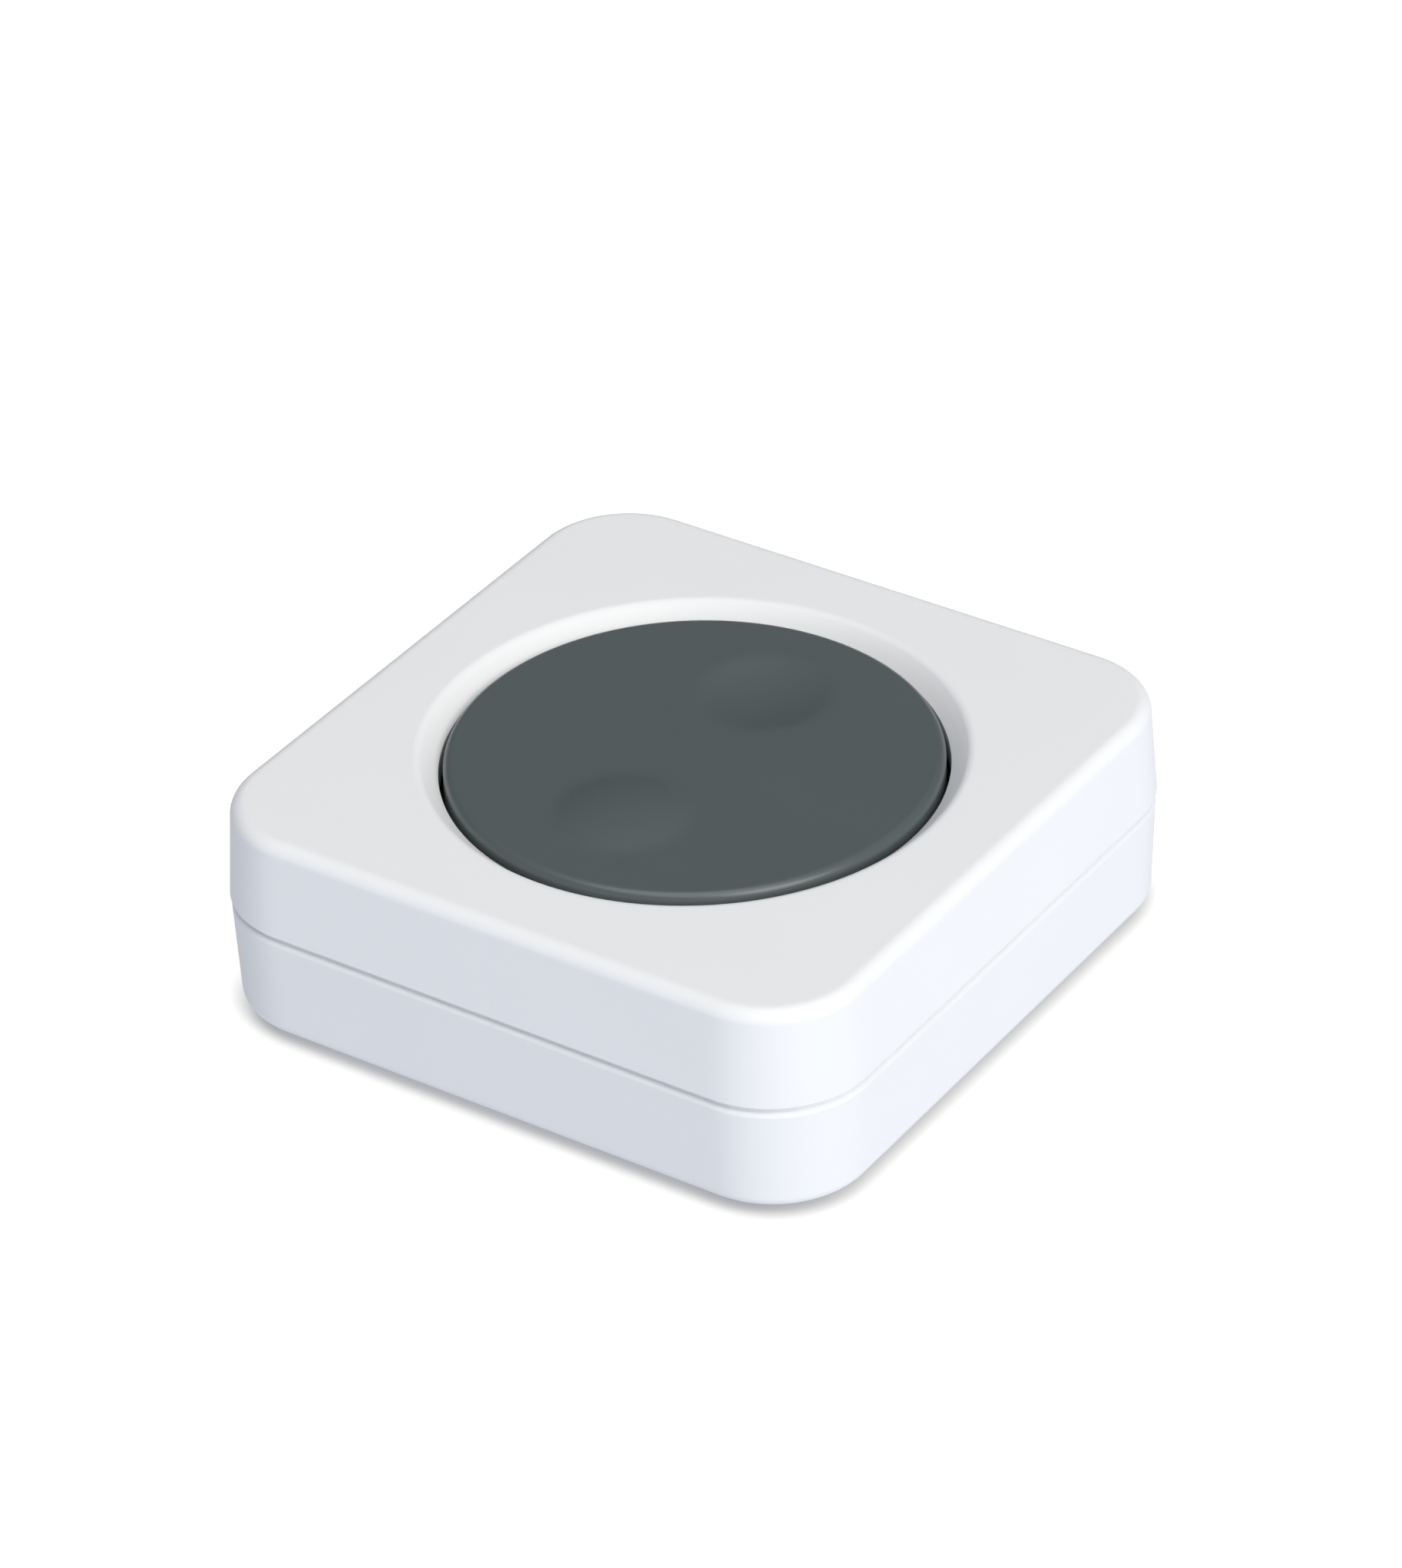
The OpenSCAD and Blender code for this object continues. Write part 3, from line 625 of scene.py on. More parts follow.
@dataclass
class RockerDisc:
    """Dark rocking disc with its touch marks, skirt, ears and posts."""

    radius: float  # Radius of the disc
    top: float  # Height of its flat top
    pivot: float  # Height of the tilt axis
    post_low: float  # Height of the posts' lower faces
    plate: float = 1.7 * MM  # Thickness of the plate
    edge: float = 0.75 * MM  # Radius round the rim
    skirt: float = 1.2 * MM  # Thickness of the skirt
    skirt_depth: float = 1.7 * MM  # Depth of the skirt below the plate
    skirt_edge: float = 0.15 * MM  # Small radius under the skirt
    mark_y: float = 10.5 * MM  # Distance of the touch marks from the tilt axis
    mark_r: float = 5.6 * MM  # Radius of the touch marks
    mark_h: float = 0.75 * MM  # Height or depth of the touch marks
    mark_soft: float = 0.7 * MM  # Half width of the soft edge round a mark
    ear_r: float = 1.5 * MM  # Radius of the ears
    ear_span: Point = (11.75 * MM, 14.75 * MM)  # Places of an ear's two faces along the tilt axis
    pin_d: float = 1.54 * MM  # Diameter of the pin bores
    post_d: float = 3.0 * MM  # Diameter of the posts
    rim_steps: int = 90  # Points round half of the rim
    axis_steps: int = 54  # Points along the tilt axis
    mark_rings: int = 20  # Rings from the middle of a mark to its edge
    flat_shares: tuple[float, ...] = (0.06, 0.4, 0.75, 1.0)  # Rings on the flat, from mark to rim

    @classmethod
    def from_frame(cls, cover_top: float) -> "RockerDisc":
        """Reads the disc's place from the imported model.

        Args:
            cover_top: Height of the cover's top.

        Returns:
            The disc's sizes.
        """
        drop = 0.5 * MM
        gap = 0.06 * MM
        pins_low, pins_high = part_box("pivot_pins")
        return cls(
            radius=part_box("rocker_disc")[1].x,
            top=cover_top - drop,
            pivot=(pins_low.z + pins_high.z) / 2,
            post_low=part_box("front_plunger")[1].z + gap,
        )

    def mark_height(self, distance: float) -> float:
        """Height of a touch mark: a round cap that runs out softly.

        Args:
            distance: Distance from the middle of the mark.

        Returns:
            The height above the flat top, for a raised mark.
        """
        near, far = self.mark_r - self.mark_soft, self.mark_r + self.mark_soft
        curve = self.mark_h / self.mark_r**2
        slope = 2 * curve * near
        band = far - near
        if distance >= far:
            return 0.0
        if distance > near:
            return slope * (far - distance) ** 2 / (2 * band)
        return slope * band / 2 + curve * (near**2 - distance**2)

    def rim(self) -> list[Point]:
        """Outline of the rim.

        Returns:
            Radii and heights, from the flat top round the rim and under the plate.
        """
        low = self.top - self.plate
        foot = low - self.skirt_depth
        inner = self.radius - self.skirt
        small = self.skirt_edge
        points = arc((self.radius - self.edge, self.top - self.edge), self.edge, 90, 0, 12)
        points += arc((self.radius - small, foot + small), small, 0, -90, 4)
        points += arc((inner + small, foot + small), small, -90, -180, 4)
        return points + [(inner, low), (0.6 * inner, low), (0.0, low)]

    def add_half(self, solid: Solid, mark: Mark) -> None:
        """Adds one half of the top: rays from the middle of its mark to the rim and the tilt axis.

        Args:
            solid: Mesh of the disc.
            mark: Touch mark on this half.
        """
        flat = self.radius - self.edge
        outline = arc((0.0, 0.0), flat, 0, 180, self.rim_steps)
        for i in range(1, self.axis_steps):
            outline.append((flat * (2 * i / self.axis_steps - 1), 0.0))
        side, far = mark.value, self.mark_r + self.mark_soft
        middle = side * self.mark_y
        rays = [Vector((x, side * y - middle)) for x, y in outline]
        levels = []
        for i in range(self.mark_rings + 1):
            distance = far * (i / self.mark_rings)
            reach = [ray.normalized() * distance for ray in rays] if distance else [Vector((0, 0))]
            levels.append((reach, self.top - side * self.mark_height(distance)))
        for share in self.flat_shares:
            reach = [ray.normalized() * (far + (ray.length - far) * share) for ray in rays]
            levels.append((reach, self.top))
        rings = [solid.ring([(r.x, middle + r.y) for r in reach], height) for reach, height in levels]
        solid.loft(rings, closed=False)

    def build(self) -> bpy.types.Object:
        """Makes the disc with its ears and posts.

        Returns:
            The disc, not yet finished.
        """
        disc = Solid()
        for mark in Mark:
            self.add_half(disc, mark)
        rings = []
        for radius, height in self.rim():
            turn = arc((0.0, 0.0), radius, 0, 360, 2 * self.rim_steps)[:-1] if radius else [(0.0, 0.0)]
            rings.append(disc.ring(turn, height))
        disc.loft(rings, closed=False)
        piece = disc.place("rocker_plate")
        self.add_ears(piece)
        return piece

    def add_ears(self, piece: bpy.types.Object) -> None:
        """Adds the ears that hold the pins and the posts that press the switches.

        Args:
            piece: The disc.
        """
        root = self.top - self.plate / 2
        along = Matrix(((0, 0, 1, 0), (1, 0, 0, 0), (0, 1, 0, self.pivot), (0, 0, 0, 1)))
        below = arc((0.0, 0.0), self.ear_r, 180, 360, 20)
        outline = below + [(self.ear_r, root - self.pivot), (-self.ear_r, root - self.pivot)]
        ears = Solid()
        bores = Solid()
        for low, high in (self.ear_span, (-self.ear_span[1], -self.ear_span[0])):
            ears.prism(outline, low, high)
            bores.peg(self.pin_d / 2, low - OVER, high + OVER, PIN_SIDES)
        work(piece, ears, Way.JOIN, along)
        work(piece, bores, Way.CUT, along)
        posts = Solid()
        for mark in Mark:
            posts.peg(self.post_d / 2, self.post_low, root, PIN_SIDES, (0.0, mark.value * self.mark_y))
        work(piece, posts, Way.JOIN)


@dataclass
class BatteryDoor:
    """Round door under the battery, with bayonet tabs and a coin slot."""

    low: float  # Height of its outer face
    high: float  # Height of its inner face
    flange_r: float = 15.55 * MM  # Radius of the flange
    flange: float = 0.75 * MM  # Thickness of the flange
    hub_r: float = 12.55 * MM  # Radius of the hub
    edge: float = 0.25 * MM  # Radius round the flange
    tab_low: float = 2.85 * MM  # Height of the tabs' lower faces
    tab_r: float = 14.4 * MM  # Radius that the tabs reach to
    tabs: int = 3  # Number of tabs
    tab_angle: float = 22.0  # Angle of one tab, in degrees
    tab_start: float = 105.0  # Direction of the first tab's middle, in degrees
    slot_w: float = 2.2 * MM  # Width of the coin slot
    slot_l: float = 15.0 * MM  # Length of the coin slot
    slot_depth: float = 1.0 * MM  # Depth of the coin slot
    slot_edge: float = 0.25 * MM  # Chamfer round the coin slot

    @classmethod
    def from_frame(cls) -> "BatteryDoor":
        """Reads the door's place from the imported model."""
        low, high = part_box("battery_door")
        return cls(low=low.z, high=high.z)

    def stadium(self, spread: float) -> list[Point]:
        """Outline of the coin slot.

        Args:
            spread: How far it stands out from the slot's own size.

        Returns:
            The points, anticlockwise.
        """
        reach = (self.slot_l - self.slot_w) / 2
        radius = self.slot_w / 2 + spread
        return arc((reach, 0.0), radius, -90, 90, 16) + arc((-reach, 0.0), radius, 90, 270, 16)

    def build(self) -> bpy.types.Object:
        """Makes the door with its tabs and slot.

        Returns:
            The door, not yet finished.
        """
        plate = Solid()
        shelf = self.low + self.flange
        rim = arc((self.flange_r - self.edge, self.low + self.edge), self.edge, -90, 0, 5)
        crown = arc((self.hub_r - self.edge, self.high - self.edge), self.edge, 0, 90, 5)
        middle = [(self.flange_r, shelf), (self.hub_r, shelf)]
        plate.turned([(0.0, self.low)] + rim + middle + crown + [(0.0, self.high)], DOOR_SIDES)
        piece = plate.place("door_plate")
        lugs = Solid()
        top = self.high - self.edge / 4
        for i in range(self.tabs):
            start = self.tab_start - self.tab_angle / 2 + i * 360 / self.tabs
            lugs.sector(self.hub_r - OVER, self.tab_r, self.tab_low, top, start, self.tab_angle)
        work(piece, lugs, Way.JOIN)
        slot = Solid()
        levels = [
            (self.slot_edge + OVER, self.low - OVER),
            (0.0, self.low + self.slot_edge),
            (0.0, self.low + self.slot_depth),
        ]
        rings = [slot.ring(self.stadium(spread), z) for spread, z in levels]
        slot.loft(rings, closed=False)
        slot.mesh.faces.new(rings[0])
        slot.mesh.faces.new(rings[-1])
        work(piece, slot, Way.CUT)
        return piece


@dataclass
class RubberFeet:
    """Four soft pads that cover the case screws."""

    places: list[Point]  # Where the pads are, in plan
    high: float  # Height of their upper faces
    radius: float = 4.0 * MM  # Radius of a pad
    edge: float = 0.3 * MM  # Radius round its lower edge
    hollow_r: float = 2.4 * MM  # Radius of the shallow hollow in its rest face
    hollow_flat: float = 1.92 * MM  # Radius of that hollow's flat middle
    hollow: float = 0.08 * MM  # Depth of that hollow

    def build(self) -> bpy.types.Object:
        """Makes the four pads as one piece.

        Returns:
            The pads, not yet finished.
        """
        pads = Solid()
        face = [(0.0, self.hollow), (self.hollow_flat, self.hollow), (self.hollow_r, 0.0)]
        rim = arc((self.radius - self.edge, self.edge), self.edge, -90, 0, 6)
        crown = [(self.radius, self.high), (0.0, self.high)]
        for place in self.places:
            pads.turned(face + rim + crown, PAD_SIDES, place)
        return pads.place("foot_pads")


class Tree:
    """Short ways to add nodes to a shader tree."""

    def __init__(self, tree: bpy.types.NodeTree) -> None:
        """Takes the tree that is built."""
        self.tree = tree

    @classmethod
    def fresh(cls, owner: bpy.types.ID) -> "Tree":
        """Takes the node tree of a new material or world, emptied.

        Args:
            owner: The material or world.

        Returns:
            Its tree.
        """
        owner.use_nodes = True
        owner.node_tree.nodes.clear()
        return cls(owner.node_tree)

    def add(self, kind: str, sockets: Optional[dict] = None, **settings: object) -> bpy.types.Node:
        """Adds a node.

        Args:
            kind: Node type.
            sockets: Input values by name or number, or the sockets that feed them.
            **settings: Properties of the node.

        Returns:
            The new node.
        """
        node = self.tree.nodes.new(kind)
        for name, value in settings.items():
            setattr(node, name, value)
        for name, value in (sockets or {}).items():
            self.feed(node.inputs[name], value)
        return node

    def feed(self, socket: bpy.types.NodeSocket, value: object) -> None:
        """Links a socket to another, or sets its value.

        Args:
            socket: Input socket.
            value: Output socket, number, vector or colour.
        """
        if isinstance(value, bpy.types.NodeSocket):
            self.tree.links.new(value, socket)
        elif socket.type == "RGBA":
            socket.default_value = (*value, 1.0)
        else:
            socket.default_value = value

    def math(self, operation: str, *terms: object) -> bpy.types.NodeSocket:
        """Adds a sum, product or comparison of numbers or sockets, and gives its result."""
        return self.add("ShaderNodeMath", dict(enumerate(terms)), operation=operation).outputs[0]

    def spread(self, value: object, low: object, high: object, start: float = 0.0, stop: float = 1.0,
               smooth: bool = False) -> bpy.types.NodeSocket:
        """Maps a value to another range.

        Args:
            value: Value or socket between start and stop.
            low: Result at start.
            high: Result at stop.
            start: Lower end of the value.
            stop: Upper end of the value.
            smooth: Whether the result eases in and out.

        Returns:
            The result's socket.
        """
        ends = {"Value": value, "From Min": start, "From Max": stop, "To Min": low, "To Max": high}
        kind = "SMOOTHSTEP" if smooth else "LINEAR"
        return self.add("ShaderNodeMapRange", ends, interpolation_type=kind).outputs["Result"]

    def blend(self, share: object, first: object, second: object) -> bpy.types.NodeSocket:
        """Mixes two colours or sockets, the first at share 0 and the second at share 1."""
        return self.add("ShaderNodeMix", {0: share, 6: first, 7: second}, data_type="RGBA").outputs[2]

    def tones(self, share: object, colour: Colour, change: float) -> bpy.types.NodeSocket:
        """Mixes a darker version of a colour, at share 0, and a lighter one, at share 1."""
        ends = [tuple(min(1.0, c * (1 + sign * change)) for c in colour) for sign in (-1, 1)]
        return self.blend(share, *ends)

    def mix(self, share: object, first: object, second: object) -> bpy.types.NodeSocket:
        """Mixes two shaders, the first at share 0 and the second at share 1."""
        return self.add("ShaderNodeMixShader", {0: share, 1: first, 2: second}).outputs[0]

    def here(self) -> bpy.types.NodeSocket:
        """Gives the place on the piece, in its own axes."""
        return self.add("ShaderNodeTexCoord").outputs["Object"]

    def noise(self, place: object, scale: object, detail: float, warp: float = 0.0) -> bpy.types.NodeSocket:
        """Adds a noise texture and gives its value."""
        sockets = {"Vector": place, "Scale": scale, "Detail": detail, "Distortion": warp}
        return self.add("ShaderNodeTexNoise", sockets).outputs["Fac"]

    def bump(self, depth: float, height: object) -> bpy.types.NodeSocket:
        """Adds a bump and gives its normal."""
        return self.add("ShaderNodeBump", {"Distance": depth, "Height": height}).outputs["Normal"]

    def place(self, group: bpy.types.NodeTree, **inputs: object) -> bpy.types.bpy_prop_collection:
        """Places a node group, its inputs named with _ for a space, and gives its outputs."""
        sockets = {name.replace("_", " "): value for name, value in inputs.items()}
        return self.add("ShaderNodeGroup", sockets, node_tree=group).outputs


class Effects:
    """Shader node groups that several finishes use, each built once."""

    def __init__(self) -> None:
        """Builds the groups."""
        self.grain = self.build_grain()
        self.handling = self.build_handling()
        self.brushing = self.build_brushing()

    @staticmethod
    def start(name: str, inputs: Sequence[str]) -> tuple[Tree, dict]:
        """Starts a group with named number inputs.

        Args:
            name: Name of the group.
            inputs: Names of its inputs.

        Returns:
            The tree, and its input sockets by name.
        """
        group = bpy.data.node_groups.new(name, "ShaderNodeTree")
        for label in inputs:
            group.interface.new_socket(name=label, in_out="INPUT", socket_type="NodeSocketFloat")
        tree = Tree(group)
        entry = tree.add("NodeGroupInput")
        return tree, {socket.name: socket for socket in entry.outputs if socket.name}

    @staticmethod
    def end(tree: Tree, **outputs: object) -> bpy.types.NodeTree:
        """Ends a group with named number outputs.

        Args:
            tree: Tree of the group.
            **outputs: The sockets that feed its outputs.

        Returns:
            The group.
        """
        for label in outputs:
            tree.tree.interface.new_socket(name=label, in_out="OUTPUT", socket_type="NodeSocketFloat")
        tree.add("NodeGroupOutput", outputs)
        return tree.tree

    def build_grain(self) -> bpy.types.NodeTree:
        """Fine pebbled grain of a moulded surface, with soft clouds in its tone.

        Returns:
            The group.
        """
        tree, given = self.start("moulded_grain", ("Grain Scale", "Cloud Scale"))
        place, scale = tree.here(), given["Grain Scale"]
        pebbles = tree.add("ShaderNodeTexVoronoi", {"Vector": place, "Scale": scale}, feature="SMOOTH_F1")
        rough = tree.math("MULTIPLY", pebbles.outputs["Distance"], 0.5)
        height = tree.math("ADD", rough, tree.noise(place, scale, 2.0))
        return self.end(tree, Height=height, Cloud=tree.noise(place, given["Cloud Scale"], 3.0))

    def build_handling(self) -> bpy.types.NodeTree:
        """Faint polish and haze that hands leave, as a mask in broad patches and short streaks.

        Returns:
            The group.
        """
        tree, given = self.start("handling", ("Patch Scale", "Streak Scale"))
        place = tree.here()
        stretch = {"Vector": place, "Rotation": (0.0, 0.0, 0.7), "Scale": (1.0, 6.0, 1.0)}
        turned = tree.add("ShaderNodeMapping", stretch).outputs["Vector"]
        patch = tree.noise(place, given["Patch Scale"], 4.0, warp=0.6)
        streak = tree.noise(turned, given["Streak Scale"], 2.0)
        patches = tree.spread(patch, 0.0, 1.0, start=0.42, stop=0.68, smooth=True)
        streaks = tree.spread(streak, 0.0, 1.0, start=0.5, stop=0.75, smooth=True)
        return self.end(tree, Mask=tree.math("MAXIMUM", patches, tree.math("MULTIPLY", streaks, 0.6)))

    def build_brushing(self) -> bpy.types.NodeTree:
        """Rolled grain of sheet metal: fine lines along X, and clouds in its tone.

        Returns:
            The group.
        """
        tree, given = self.start("rolled_metal", ("Line Scale", "Cloud Scale"))
        place = tree.here()
        long = tree.add("ShaderNodeMapping", {"Vector": place, "Scale": (0.04, 1.0, 1.0)})
        lines = tree.noise(long.outputs["Vector"], given["Line Scale"], 3.0)
        return self.end(tree, Height=lines, Cloud=tree.noise(place, given["Cloud Scale"], 3.0))


@dataclass(frozen=True)
class Finish:
    """A finish: one principled shader, whose inputs each kind of finish gives."""

    name: str  # Name of the material
    colour: Colour  # Its main colour

    def inputs(self, tree: Tree, effects: Effects) -> dict[str, object]:
        """Gives values or sockets for the shader's inputs, by name."""
        return {"Base Color": self.colour}

    def material(self, effects: Effects) -> bpy.types.Material:
        """Builds the material.

        Args:
            effects: The shared node groups.

        Returns:
            The material.
        """
        made = bpy.data.materials.new(self.name)
        tree = Tree.fresh(made)
        shader = tree.add("ShaderNodeBsdfPrincipled", self.inputs(tree, effects))
        tree.add("ShaderNodeOutputMaterial", {"Surface": shader.outputs["BSDF"]})
        return made


@dataclass(frozen=True)
class MouldedPlastic(Finish):
    """Moulded plastic with a fine grain."""

    change: float = 0.012  # How much clouds in the plastic change its tone
    roughness: Point = (0.46, 0.54)  # Roughness where hands have polished it, and where they haven't
    specular: float = 0.5  # Strength of its gloss
    grain: float = 0.16 * MM  # Size of the grain
    depth: float = 0.0016 * MM  # Depth of the grain
    cloud: float = 14.0 * MM  # Size of the clouds

    def inputs(self, tree: Tree, effects: Effects) -> dict[str, object]:
        """Varies tone, polish and grain.

        Args:
            tree: Tree of the material.
            effects: The shared node groups.

        Returns:
            Values or sockets for the shader's inputs, by name.
        """
        grain = tree.place(effects.grain, Grain_Scale=1 / self.grain, Cloud_Scale=1 / self.cloud)
        hands = tree.place(effects.handling, Patch_Scale=60.0, Streak_Scale=220.0)
        polished, plain = self.roughness
        return {
            "Base Color": tree.tones(grain["Cloud"], self.colour, self.change),
            "Roughness": tree.spread(hands["Mask"], plain, polished),
            "Normal": tree.bump(self.depth, grain["Height"]),
            "Specular IOR Level": self.specular,
        }


@dataclass(frozen=True)
class SheetMetal(Finish):
    """Plated or rolled metal."""

    change: float = 0.06  # How much its tone varies
    roughness: Point = (0.24, 0.4)  # Lowest and highest roughness
    line: float = 0.12 * MM  # Width of the rolled lines
    depth: float = 0.0012 * MM  # Depth of the rolled lines

    def inputs(self, tree: Tree, effects: Effects) -> dict[str, object]:
        """Varies tone, gloss and height along the rolled lines.

        Args:
            tree: Tree of the material.
            effects: The shared node groups.

        Returns:
            Values or sockets for the shader's inputs, by name.
        """
        rolled = tree.place(effects.brushing, Line_Scale=1 / self.line, Cloud_Scale=300.0)
        return {
            "Base Color": tree.tones(rolled["Cloud"], self.colour, self.change),
            "Roughness": tree.spread(rolled["Height"], *self.roughness),
            "Normal": tree.bump(self.depth, rolled["Height"]),
            "Metallic": 1.0,
        }


@dataclass(frozen=True)
class SolderMask(Finish):
    """Green lacquer over the copper lines of a circuit board."""

    over_copper: Colour  # Colour of the lacquer where copper lies under it
    pitch: float = 1.3 * MM  # Distance between the copper lines
    line: float = 0.14  # Width of a line, in pitches
    run: float = 5.0  # Length of a line between its joints, in pitches
    roughness: Point = (0.3, 0.46)  # Lowest and highest roughness
    depth: float = 0.02 * MM  # Height of a line

    def inputs(self, tree: Tree, effects: Effects) -> dict[str, object]:
        """Lays the copper lines under the lacquer.

        Args:
            tree: Tree of the material.
            effects: The shared node groups.

        Returns:
            Values or sockets for the shader's inputs, by name.
        """
        sizes = {"Scale": 1.0, "Mortar Size": self.line * self.pitch, "Brick Width": self.run * self.pitch}
        lines = tree.add("ShaderNodeTexBrick", {"Vector": tree.here(), "Row Height": self.pitch, **sizes})
        edge = tree.spread(lines.outputs["Fac"], 0.0, 1.0, start=0.2, stop=0.6, smooth=True)
        grain = tree.place(effects.grain, Grain_Scale=4000.0, Cloud_Scale=250.0)
        return {
            "Base Color": tree.blend(edge, self.colour, self.over_copper),
            "Roughness": tree.spread(grain["Cloud"], *self.roughness),
            "Normal": tree.bump(self.depth, edge),
        }


@dataclass(frozen=True)
class Ceramic(Finish):
    """Fired ceramic of a small part, with tinned ends where it has them."""

    row: float  # Distance of the part's middle from the X axis
    body: float  # Half length of the ceramic between its ends
    change: float = 0.08  # How much its tone varies
    roughness: Point = (0.4, 0.55)  # Lowest and highest roughness
    depth: float = 0.003 * MM  # Depth of the grain

    def inputs(self, tree: Tree, effects: Effects) -> dict[str, object]:
        """Parts the ceramic from its tinned ends.

        Args:
            tree: Tree of the material.
            effects: The shared node groups.

        Returns:
            Values or sockets for the shader's inputs, by name.
        """
        grain = tree.place(effects.grain, Grain_Scale=9000.0, Cloud_Scale=900.0)
        across = tree.add("ShaderNodeSeparateXYZ", {"Vector": tree.here()}).outputs["Y"]
        reach = tree.math("ABSOLUTE", tree.math("SUBTRACT", tree.math("ABSOLUTE", across), self.row))
        tinned = tree.math("GREATER_THAN", reach, self.body)
        ceramic = tree.tones(grain["Cloud"], self.colour, self.change)
        return {
            "Base Color": tree.blend(tinned, ceramic, TIN),
            "Metallic": tinned,
            "Roughness": tree.spread(grain["Cloud"], *self.roughness),
            "Normal": tree.bump(self.depth, grain["Height"]),
        }


@dataclass
class InnerParts:
    """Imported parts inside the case, which keep their own shapes and get finishes."""

    effects: Effects  # The shared node groups

    def finishes(self) -> dict[str, bpy.types.Material]:
        """Builds one finish for each of the record's slots inside the case.

        Returns:
            The materials, by slot.
        """
        made = [
            ("black_plastic", MouldedPlastic("black_plastic", (0.02, 0.021, 0.022), 0.1, (0.5, 0.62), 0.4)),
            ("steel", SheetMetal("satin_steel", (0.62, 0.63, 0.64))),
            ("screw_steel", SheetMetal("plated_screw", (0.5, 0.5, 0.51), 0.1, (0.3, 0.5))),
            ("board", SolderMask("solder_mask", (0.012, 0.1, 0.045), (0.03, 0.17, 0.08))),
            ("ceramic_white", Ceramic("white_ceramic", (0.7, 0.7, 0.68), 0.0, 2.1 * MM)),
            ("ceramic_tan", Ceramic("tan_ceramic", (0.45, 0.3, 0.17), 5.0 * MM, 0.5 * MM)),
            ("cell_steel", SheetMetal("nickel_plate", (0.66, 0.66, 0.66), 0.04, (0.2, 0.32))),
            ("contact_gold", SheetMetal("gold_plate", (0.62, 0.43, 0.16), 0.05, (0.22, 0.34))),
        ]
        built = {slot: finish.material(self.effects) for slot, finish in made}
        built["cell_cap"] = built["cell_steel"]
        return built

    def dress(self, hidden: set[str]) -> None:
        """Gives every shown node its finish.

        Args:
            hidden: Nodes that other pieces stand for.
        """
        finishes = self.finishes()
        for part in frame["record"]["subparts"]:
            node = part["node"]
            if node in hidden:
                continue
            for slot in frame["nodes"][node].material_slots:
                slot.material = finishes[part["material_slot"]]
            log.info("%s: finish %s", node, finishes[part["material_slot"]].name)


@dataclass(frozen=True)
class Lamp:
    """A soft lamp."""

    name: str  # Name of the lamp
    towards: tuple[float, float, float]  # Direction from the button to the lamp
    level: float  # Brightness that it gives a white surface that faces it
    colour: Colour  # Colour of its light
    distance: float = 2.2  # Distance from the button
    size: float = 2.45  # Width of the lamp

    def build(self, aim: Vector) -> bpy.types.Object:
        """Puts the lamp into the scene.

        Args:
            aim: Point that it shines at.

        Returns:
            The lamp.
        """
        data = bpy.data.lights.new(self.name, "AREA")
        data.shape = "DISK"
        data.size = self.size
        data.color = self.colour
        data.energy = self.level * math.pi**2 * (self.distance**2 + (self.size / 2) ** 2)
        lamp = put(self.name, data)
        out = Vector(self.towards).normalized()
        lamp.location = aim + out * self.distance
        lamp.rotation_mode = "QUATERNION"
        lamp.rotation_quaternion = out.to_track_quat("Z", "Y")
        return lamp


@dataclass(frozen=True)
class PhotoCamera:
    """Camera at the photograph's place."""

    turn: float = 34.65  # Direction of the camera round the button, in degrees from -Y
    rise: float = 33.75  # Height of the camera above the horizon, in degrees
    roll: float = -2.02  # Roll of the camera, in degrees
    distance: float = 0.5572  # Distance from the aim
    scale: float = 15729.5  # Pixels per metre at the aim
    aim: tuple[float, float, float] = (0.0, 0.0, 9.0 * MM)  # Point that aim_px shows
    aim_px: Point = (906.0, 1110.2)  # Where that point lies in the picture
    picture: Point = (1820.0, 2035.0)  # Width and height of the picture
    sensor: float = 36.0  # Long side of the sensor, in Blender's millimetres
    clip: Point = (0.01, 20.0)  # Nearest and farthest distance that the camera sees

    def build(self) -> bpy.types.Object:
        """Puts the camera into the scene and makes it the scene's own.

        Returns:
            The camera.
        """
        turn, rise, roll = (math.radians(a) for a in (self.turn, self.rise, self.roll))
        back = Vector((math.sin(turn) * math.cos(rise), -math.cos(turn) * math.cos(rise), math.sin(rise)))
        level = Vector((math.cos(turn), math.sin(turn), 0.0))
        upright = back.cross(level)
        right = level * math.cos(roll) + upright * math.sin(roll)
        up = upright * math.cos(roll) - level * math.sin(roll)
        across = (self.aim_px[0] - self.picture[0] / 2) / self.scale
        down = (self.aim_px[1] - self.picture[1] / 2) / self.scale
        data = bpy.data.cameras.new("photo_camera")
        data.sensor_width = self.sensor
        data.lens = self.scale * self.distance * self.sensor / self.picture[1]
        data.clip_start, data.clip_end = self.clip
        camera = put("photo_camera", data)
        camera.matrix_world = Matrix((right, up, back)).transposed().to_4x4()
        camera.location = Vector(self.aim) + back * self.distance - right * across + up * down
        bpy.context.scene.camera = camera
        return camera


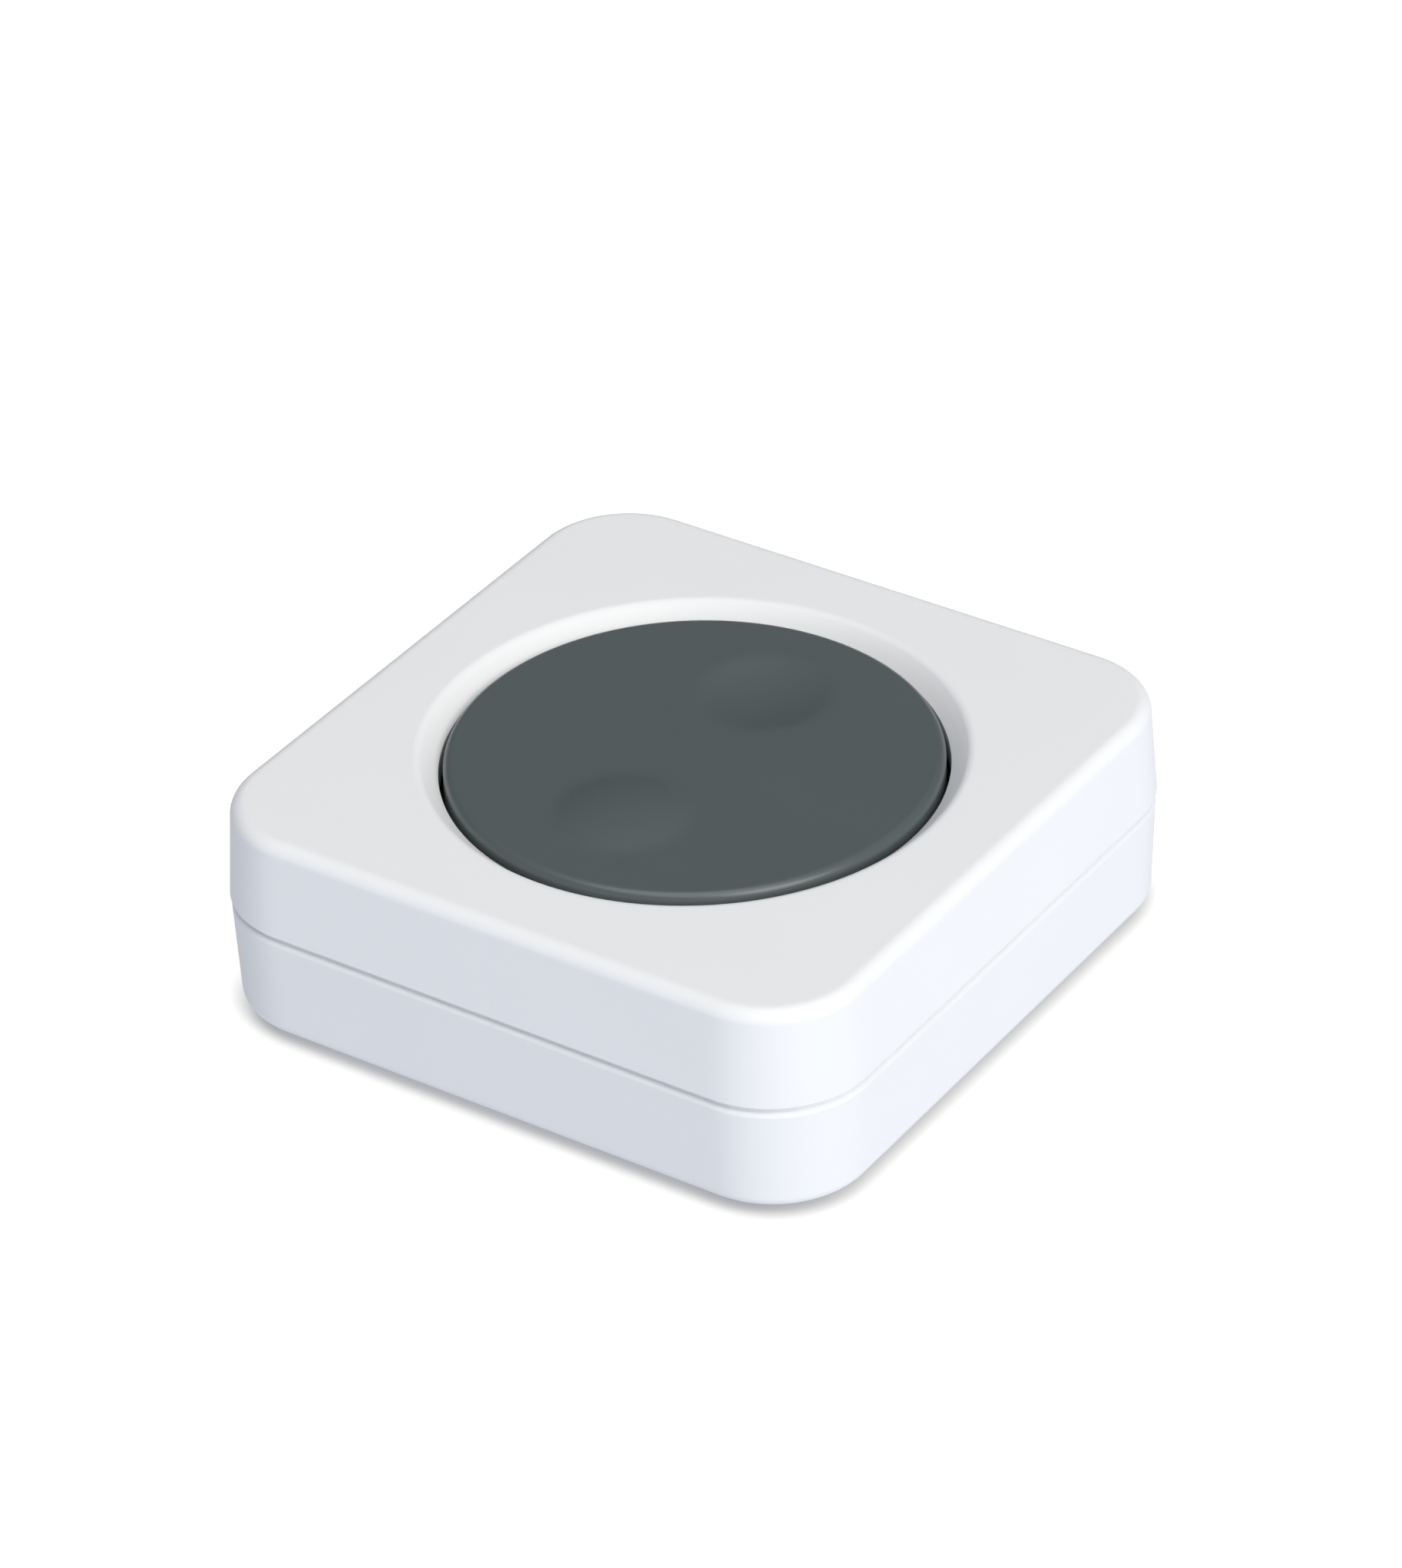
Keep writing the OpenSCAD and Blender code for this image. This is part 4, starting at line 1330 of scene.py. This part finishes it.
@dataclass
class Studio:
    """Pale floor, soft light and camera."""

    aim: Vector  # Point that the lamps shine at
    floor_half: float = 4.0  # Half width of the floor
    floor_tone: Colour = (0.5, 0.49, 0.47)  # Colour of the floor's own surface
    floor_lift: float = 0.75  # Brightness that the camera sees added to the open floor
    lift_in_painted_shade: float = 0.18  # Share of that lift that stays under the button's edge, where the floor's glow paints a contact shadow
    contact: float = 2.7 * MM  # Distance over which the floor takes up its lift; the reach of its painted contact shadow
    contact_ends: Point = (0.3, 0.9)  # Openness of the floor where the lift begins, and where it is full
    sky: Colour = (0.16, 0.165, 0.175)  # Light from above
    mirror_sky: float = 0.2  # Share of that light that mirrored rays see
    ground: Colour = (0.785, 0.828, 0.934)  # Light from below and from the walls
    dim_ground: Colour = (0.38, 0.39, 0.41)  # The same on the left, where less light falls
    dim_end: float = -0.35  # X of the directions where the walls begin to dim
    wall_ends: Point = (0.1, 0.3)  # Sines of the angles above the horizon between which the walls fade out
    lamps: tuple[Lamp, ...] = (  # The main lamp and the one overhead
        Lamp("key_softbox", (0.75, -0.244, 0.614), 0.556, (1.0, 0.971, 0.893), size=1.5),
        Lamp("top_softbox", (0.124, -0.265, 0.956), 0.436, (0.98, 0.99, 1.0)),
    )

    @staticmethod
    def seen(tree: Tree, mirrored: object = 1.0) -> bpy.types.NodeSocket:
        """Mask of the rays that see the background: straight, mirrored or through glass.

        Args:
            tree: Node tree of the background.
            mirrored: Share of the background that mirrored rays see.

        Returns:
            The mask's socket.
        """
        path = tree.add("ShaderNodeLightPath").outputs
        mirror = tree.math("MULTIPLY", path["Is Glossy Ray"], mirrored)
        straight = tree.math("MAXIMUM", path["Is Camera Ray"], path["Is Transmission Ray"])
        return tree.math("MAXIMUM", straight, mirror)

    def build_world(self) -> None:
        """Lights the button all round; the camera sees white, and mirrored rays do below the horizon."""
        world = bpy.data.worlds.new("studio_light")
        tree = Tree.fresh(world)
        way = tree.add("ShaderNodeTexCoord").outputs["Generated"]
        axes = tree.add("ShaderNodeSeparateXYZ", {"Vector": way}).outputs
        left = tree.spread(axes["X"], 1.0, 0.0, -1.0, self.dim_end, smooth=True)
        above = tree.spread(axes["Z"], 0.0, 1.0, *self.wall_ends, smooth=True)
        glossy = tree.add("ShaderNodeLightPath").outputs["Is Glossy Ray"]
        ground = tree.blend(left, self.ground, self.dim_ground)
        colour = tree.blend(tree.math("MAXIMUM", above, glossy), ground, self.sky)
        strength = tree.spread(glossy, 1.0, self.mirror_sky)
        light = tree.add("ShaderNodeBackground", {"Color": colour, "Strength": strength})
        white = tree.add("ShaderNodeBackground", {"Color": WHITE})
        share = self.seen(tree, tree.math("LESS_THAN", axes["Z"], 0.0))
        tree.add("ShaderNodeOutputWorld", {"Surface": tree.mix(share, light.outputs[0], white.outputs[0])})
        bpy.context.scene.world = world

    def floor_material(self) -> bpy.types.Material:
        """White floor that shows the camera its real shadow, adds a contact shadow painted into its glow,
        and lets the light from below through.

        Returns:
            The material.
        """
        made = bpy.data.materials.new("white_floor")
        tree = Tree.fresh(made)
        paper = tree.add("ShaderNodeBsdfDiffuse", {"Color": self.floor_tone})
        # Painted shade: ambient occlusion dims the floor's glow next to the button, a contact shadow drawn
        # into the floor's colour
        openness_for_painted_shade = tree.add("ShaderNodeAmbientOcclusion", {"Distance": self.contact}).outputs["AO"]
        lift = tree.spread(openness_for_painted_shade, self.lift_in_painted_shade * self.floor_lift, self.floor_lift, *self.contact_ends)
        glow = tree.add("ShaderNodeEmission", {"Color": WHITE, "Strength": lift})
        lit = tree.add("ShaderNodeAddShader", {0: paper.outputs[0], 1: glow.outputs[0]})
        clear = tree.add("ShaderNodeBsdfTransparent")
        front = tree.math("SUBTRACT", 1.0, tree.add("ShaderNodeNewGeometry").outputs["Backfacing"])
        share = tree.math("MULTIPLY", self.seen(tree), front)
        tree.add("ShaderNodeOutputMaterial", {"Surface": tree.mix(share, clear.outputs[0], lit.outputs[0])})
        return made

    def build(self) -> None:
        """Sets up the floor, the light, the camera and the view."""
        half = self.floor_half
        rim = [(-half, -half, 0.0), (half, -half, 0.0), (half, half, 0.0), (-half, half, 0.0)]
        sheet = bpy.data.meshes.new("floor")
        sheet.from_pydata(rim, [], [(0, 1, 2, 3)])
        sheet.materials.append(self.floor_material())
        floor = put("floor", sheet)
        self.build_world()
        for lamp in self.lamps:
            lamp.build(self.aim)
        PhotoCamera().build()
        bpy.context.scene.view_settings.view_transform = "Standard"
        log.info("studio: floor, world, lamps and camera")


def main() -> None:
    """Builds the pieces in order, dresses the inner parts and sets up the studio."""
    logging.basicConfig(level=logging.INFO, format="%(name)s %(message)s")
    effects = Effects()
    white, dark, rubber = (
        plastic.material(effects)
        for plastic in (
            MouldedPlastic("white_plastic", (0.84, 0.85, 0.87), 0.012, (0.56, 0.62), 0.3),
            MouldedPlastic("dark_plastic", (0.095, 0.117, 0.122), 0.03, (0.28, 0.32), depth=0.0006 * MM),
            MouldedPlastic("soft_rubber", (0.1, 0.1, 0.1), 0.08, (0.7, 0.8), 0.3, 0.3 * MM, 0.006 * MM),
        )
    )
    case = CaseSizes.from_frame()
    feet = RubberFeet(case.bosses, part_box("rubber_feet")[1].z)
    pieces = (
        (TopCover(case), white, "housing", "white_case", "top_cover"),
        (BaseShell(case), white, "housing", "white_case", "base_shell"),
        (RockerDisc.from_frame(case.top), dark, "rocker", "dark_disc", "rocker_disc"),
        (BatteryDoor.from_frame(), white, "door", "white_case", "battery_door"),
        (feet, rubber, "housing", "foot_rubber", "rubber_feet"),
    )
    for maker, finish, body, slot, node in pieces:
        finish_piece(maker.build(), finish, body, node)
    InnerParts(effects).dress({piece[-1] for piece in pieces})
    Studio(Vector((0.0, 0.0, case.top / 2))).build()


if __name__ == "__main__":
    main()
